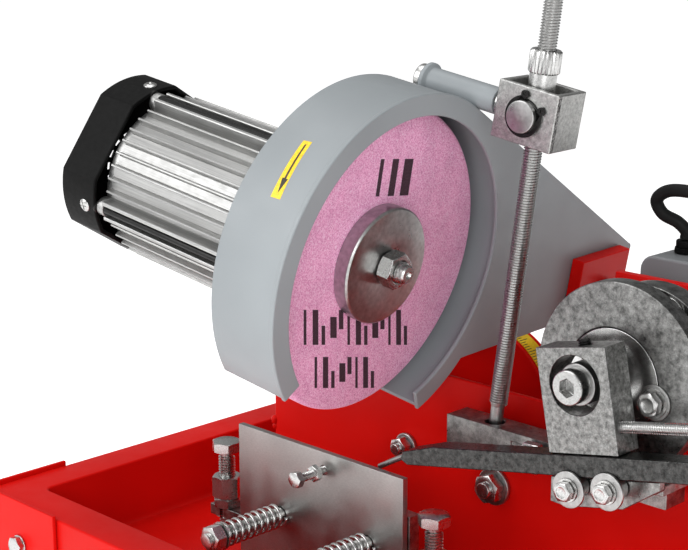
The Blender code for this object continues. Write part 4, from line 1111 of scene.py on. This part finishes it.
def make_fan_cover():
    shell = prism(flatted_circle(COVER_R, COVER_HALF), COVER_REAR, COVER_FRONT, "X")
    inner = flatted_circle(COVER_R - 3, COVER_HALF - 3)
    cuts = [prism(inner, COVER_REAR + 3, COVER_FRONT + 10, "X")]
    for radius, slots in ((11.0, 8), (17.0, 12), (23.0, 16)):
        for step in range(slots):
            middle = 360 * step / slots
            width = 360 / slots * 0.30
            slot_loop = arc(radius + 1.5, middle - width, middle + width, 4)
            slot_loop += arc(radius - 1.5, middle + width, middle - width, 4)
            cuts.append(prism(slot_loop, COVER_REAR - 5, COVER_REAR + 5, "X"))
    grille = join_meshes(cuts[1:])
    piece("fan_shroud", ON_HEAD, BLACK, [shell], [cuts[0], grille], 1.1, node="fan_cover")
    for i, angle in enumerate((40.0, 135.0, 225.0, 315.0)):
        b, c = around([(COVER_R, angle)], MOTOR_TURN)[0]
        spot = HEAD @ (Vector((-200.0, b, c)) * MM)
        outward = HEAD.to_3x3() @ Vector((0.0, b, c)).normalized()
        place = Matrix.Translation(spot) @ outward.to_track_quat("Z", "Y").to_matrix().to_4x4()
        pan_screw("cover_screw_%d" % (i + 1), ("head", place), 4.6)
    blades = [rod(9.0, -216.0, -193.0, "X"), rod(36.0, -197.0, -194.0, "X", sides=64)]
    for step in range(6):
        angle = radians(60 * step + 15)
        side = Vector((-sin(angle), cos(angle))) * 1.2
        out = Vector((cos(angle), sin(angle)))
        tip, root = out * 34, out * 6
        corners = [tuple(root + side), tuple(tip + side), tuple(tip - side), tuple(root - side)]
        blades.append(prism(corners, -214.0, -195.0, "X"))
    hole = [rod(5.3, -230, -180, "X")]
    piece("fan_wheel", ON_SPINDLE, BLACK, blades, hole, 0.4, node="fan")


def join_meshes(meshes):
    """Several separate closed shapes as one mesh."""
    shape = bmesh.new()
    for mesh in meshes:
        shape.from_mesh(mesh)
    mesh = bpy.data.meshes.new("shape")
    shape.to_mesh(mesh)
    shape.free()
    return mesh


def make_wheel():
    corner = 3.0
    profile = arc(corner, 0, 90, 8, (WHEEL_R - corner, WHEEL_FACE - corner))
    profile += [(10.2, WHEEL_FACE), (10.2, WHEEL_BACK)]
    profile += [(WHEEL_R - 1, WHEEL_BACK), (WHEEL_R, WHEEL_BACK + 1)]
    piece("wheel_disc", ON_SPINDLE, PINK, [turned(profile, "X", sides=160)], node="grinding_wheel")
    make_stencil()
    shaft = [rod(8.0, MOTOR_REAR - 1, 14.5, "X"), rod(5.0, -217.0, MOTOR_REAR, "X", soft=0.6)]
    shaft.append(rod(38.0, WHEEL_BACK - 5.2, WHEEL_BACK - GAP, "X", sides=96, soft=0.6))
    shaft.append(rod(9.8, WHEEL_BACK - 1.0, -1.0, "X"))
    piece("spindle_shaft", ON_SPINDLE, STEEL, shaft, node="arbor")
    tip = [(0.0, 28.4), (6.0, 28.4), (6.0, 30.4), (5.0, 31.5), (0.0, 31.5)]
    end = [rod(5.4, 12.0, 30.0, "X"), turned(tip, "X")]
    drilled = [(0.0, 28.0), (0.9, 28.0), (1.2, 30.0), (3.0, 31.8), (0.0, 31.8)]
    centre_hole = turned(drilled, "X", sides=32)
    piece("spindle_end", ON_SPINDLE, STEEL, end, [centre_hole])
    screw = thread(6.9, 1.75, 12.0, 31.0, "X", steps=32)
    piece("spindle_thread", ON_SPINDLE, STEEL, [screw])
    inside = WHEEL_FACE + GAP
    outer = [(38.0, inside), (38.0, 13.0), (36.8, 14.2), (8.4, 14.2), (8.4, inside)]
    flange = turned(outer, "X", sides=128, soft=0.35)
    piece("clamp_flange", ON_SPINDLE, FACED_BRIGHT, [flange], node="outer_flange")
    nut = hexagon(21.0, 14.8, 25.0, "X", turn=12.0)
    bore = turned([(0.0, 10.0), (7.2, 10.0), (7.2, 24.2), (8.2, 25.3), (0.0, 25.3)], "X")
    piece("arbor_nut", ON_SPINDLE, STEEL, [nut], [bore], 0.25, node="wheel_nut")


def strip_marks(corners, count, fills, seed):
    """Bars in a row in a slanted box, given as top left, top right, low left and low right."""
    top_left, top_right, low_left, low_right = (Vector(corner) for corner in corners)
    marks = []
    for i in range(count):
        start = (i + 0.08) / count
        wide = (0.30 + 0.55 * ((i * seed) % 5) / 5) / count
        low, high = fills[(i * seed) % len(fills)]
        quad = []
        for s, t in ((start, low), (start + wide, low), (start + wide, high), (start, high)):
            upper = top_left + (top_right - top_left) * s
            lower = low_left + (low_right - low_left) * s
            quad.append(tuple(lower + (upper - lower) * t))
        marks.append(prism(quad, WHEEL_FACE, WHEEL_FACE + FILM, "X"))
    return marks


def make_stencil():
    """Ink on the wheel's face, as plain bars in place of its printing."""
    box = [(-9.0, 68.0), (27.0, 63.6), (-9.0, 44.0), (27.0, 39.6)]
    marks = strip_marks(box, 3, [(0.0, 1.0), (0.1, 0.85)], 2)
    rows = [(0.0, 1.0), (0.0, 0.55), (0.45, 1.0), (0.0, 1.0), (0.2, 0.8)]
    marks += strip_marks([(-62.5, -19.9), (46.9, -42.5), (-58.1, -43.8), (53.1, -68.9)], 13, rows, 3)
    marks += strip_marks([(-46.1, -54.6), (18.9, -69.7), (-42.0, -76.7), (24.0, -93.1)], 8, rows, 3)
    piece("wheel_ink", ON_SPINDLE, STENCIL, [join_meshes(marks)])


# ---- yoke, trunnion and lift rod ----

ROD_LOW, ROD_TOP = -192.5, 118.6


def make_yoke():
    half_a, half_b, half_c, wall = 22.0, 15.0, 18.0, 4.0
    ring = block((-half_a, -half_b, -half_c), (half_a, half_b, half_c))
    inside = block((-half_a + wall, -half_b + wall, -30), (half_a - wall, half_b - wall, 30))
    cuts = [inside, rod(10.3, -40, 40, "Y", sides=96)]
    piece("yoke_frame", ON_YOKE, GRAINY, [ring], cuts, 0.9, node="yoke")
    near = (half_a - 0.2, -half_b + 0.5, -half_c + 0.7)
    edge = block(near, (half_a + 0.05, -half_b + 3.4, half_c - 0.7))
    piece("yoke_cut_edge", ON_YOKE, EDGE, [edge])
    stem_end = TUBE_END - YOKE_A - 6.0
    stem = [rod(6.0, stem_end, -half_a + 1, "X"), rod(9.5, -half_a - 5, -half_a - 0.02, "X", soft=0.8)]
    stem.append(rod(9.0, stem_end, stem_end + 5.5, "X", soft=1.2))
    piece("yoke_stem", ON_YOKE, STEEL, stem)
    pin = [rod(10.0, -half_b - 5.0, half_b + 5.0, "Y", sides=96, soft=0.7)]
    pin.append(block((-12.5, -10.6, -11.0), (12.5, 10.6, 11.0)))
    grooves = [sleeve(9.2, 12.0, -half_b - 2.0, -half_b - 0.6, "Y"), rod(8.8, -30, 30, "Z")]
    piece("trunnion_pin", ("trunnion", PIN), FACED_BRIGHT, pin, grooves, node="yoke_pin")
    clip = arc(12.8, 88, 388, 60) + arc(9.4, 388, 88, 60)
    near, far = -half_b - 1.9, -half_b - 0.7
    ears = [rod(2.6, near, far, "Y", spot, 32) for spot in arc(13.6, 92, 384, 1)]
    holes = [rod(0.9, near - 3, far + 3, "Y", spot, 20) for spot in arc(13.8, 92, 384, 1)]
    ring = [prism(clip, near, far, "Y")] + ears
    piece("retaining_ring", ("trunnion", PIN), BLACK_OXIDE, ring, holes, 0.12, node="circlip")
    tube = sleeve(6.3, 8.5, -12.0, 25.5, "Z", soft=0.3)
    piece("sleeve_tube", ("sleeve", PIN), STEEL, [tube], node="sleeve_nut")
    collar = knurled(9.9, 25.3, 39.5, "Z", 26, 0.9, 1.0)
    piece("sleeve_collar", ("sleeve", PIN), STEEL, collar, [rod(6.3, 20, 45, "Z")])
    core = [rod(4.9, ROD_LOW, ROD_TOP, "Z", soft=0.8), rod(4.4, -205.0, ROD_LOW + 1.5, "Z", soft=1.1)]
    piece("lift_rod_core", ("rod", PIN), THREAD, core, node="lift_rod")
    screw = thread(5.9, 1.75, ROD_LOW + 1, ROD_TOP + 0.4, "Z", steps=24)
    piece("lift_rod_thread", ("rod", PIN), THREAD, [screw])


def make_panel_nuts():
    """The two flanged nuts on the front panel, under the feed bar."""
    nuts = (("left", -42.8, -152.6, 13.0, 9.2), ("right", 37.2, -161.5, 18.0, 13.0))
    for name, x, z, flats, flange in nuts:
        at = on_frame(x, PANEL_Y, z)
        stud = [rod(flats * 0.3, -14.0, -0.1, "Y", soft=0.6)]
        piece("panel_stud_" + name, at, STEEL, stud)
        nut = [hexagon(flats, -11.0, -3.4, "Y", turn=20.0)]
        bore = [rod(flats * 0.31, -30, 5, "Y")]
        piece("panel_nut_" + name, at, STEEL, nut, bore)
        skirt = sleeve(flats * 0.31, flange, -3.2, -0.2, "Y", soft=0.8)
        piece("panel_washer_" + name, at, FACED_BRIGHT, [skirt])


# ---- floor, light and camera ----


def make_stage():
    reach, low = 3e4, -0.5
    corners = [(-reach, -reach, low), (reach, -reach, low), (reach, reach, low), (-reach, reach, low)]
    floor = add_object("studio_floor", mesh_from(corners, [(0, 1, 2, 3)]))
    pale = Finish("studio_white", (0.82, 0.82, 0.82), 0.9, emission_color=(1.0, 1.0, 1.0, 1.0))
    pale.put("Emission Strength", 0.72)
    floor.data.materials.append(pale.made)
    for name, place, size, power in (
        ("key", (-0.9, -1.8, 1.3), 1.3, 19.0),
        ("fill", (1.5, -1.3, 0.9), 1.0, 13.0),
        ("top", (-0.3, -0.2, 2.2), 1.4, 14.0),
    ):
        data = bpy.data.lights.new(name, "AREA")
        data.energy, data.size = power, size
        lamp = add_object(name, data)
        lamp.location = place
        lamp.rotation_euler = (Vector((0, 0, 0.25)) - Vector(place)).to_track_quat("-Z", "Y").to_euler()
    make_sky()


def make_sky():
    """A studio that is bright in front and to the left, and darkens behind and to the right."""
    world = bpy.data.worlds.new("studio")
    bpy.context.scene.world = world
    world.use_nodes = True
    tree = world.node_tree
    background = tree.nodes["Background"]
    place = tree.nodes.new("ShaderNodeTexCoord")
    split = tree.nodes.new("ShaderNodeSeparateXYZ")
    tree.links.new(place.outputs["Generated"], split.inputs["Vector"])
    both = tree.nodes.new("ShaderNodeMath")
    both.operation = "MULTIPLY"
    for i, (axis, far_end) in enumerate((("X", 0.5), ("Y", 0.22))):
        fade = tree.nodes.new("ShaderNodeMapRange")
        for socket, value in zip(RANGE_SOCKETS, (-1.0, 1.0, 1.0, far_end)):
            fade.inputs[socket].default_value = value
        tree.links.new(split.outputs[axis], fade.inputs["Value"])
        tree.links.new(fade.outputs["Result"], both.inputs[i])
    tree.links.new(both.outputs["Value"], background.inputs["Color"])
    background.inputs["Strength"].default_value = 0.9


CAMERA_AT, CAMERA_BACK, LENS = (0.6589, -0.8644, 0.5748), (0.6855, -0.6904, 0.2311), 84.19


def make_camera():
    data = bpy.data.cameras.new("front_right")
    data.lens, data.sensor_width = LENS, 36.0
    camera = add_object("front_right", data)
    camera.location = CAMERA_AT
    camera.rotation_euler = (-Vector(CAMERA_BACK)).to_track_quat("-Z", "Y").to_euler()
    bpy.context.scene.camera = camera


make_tray()
make_legs()
make_main_body()
make_motor_bracket()
make_clamp()
make_feed()
make_rollers()
make_lever()
make_camshaft()
make_gear_motor()
make_carrier()
make_guard()
make_motor()
make_wheel()
make_yoke()
make_panel_nuts()
make_stage()
make_camera()
bpy.context.scene.view_settings.view_transform = "Standard"
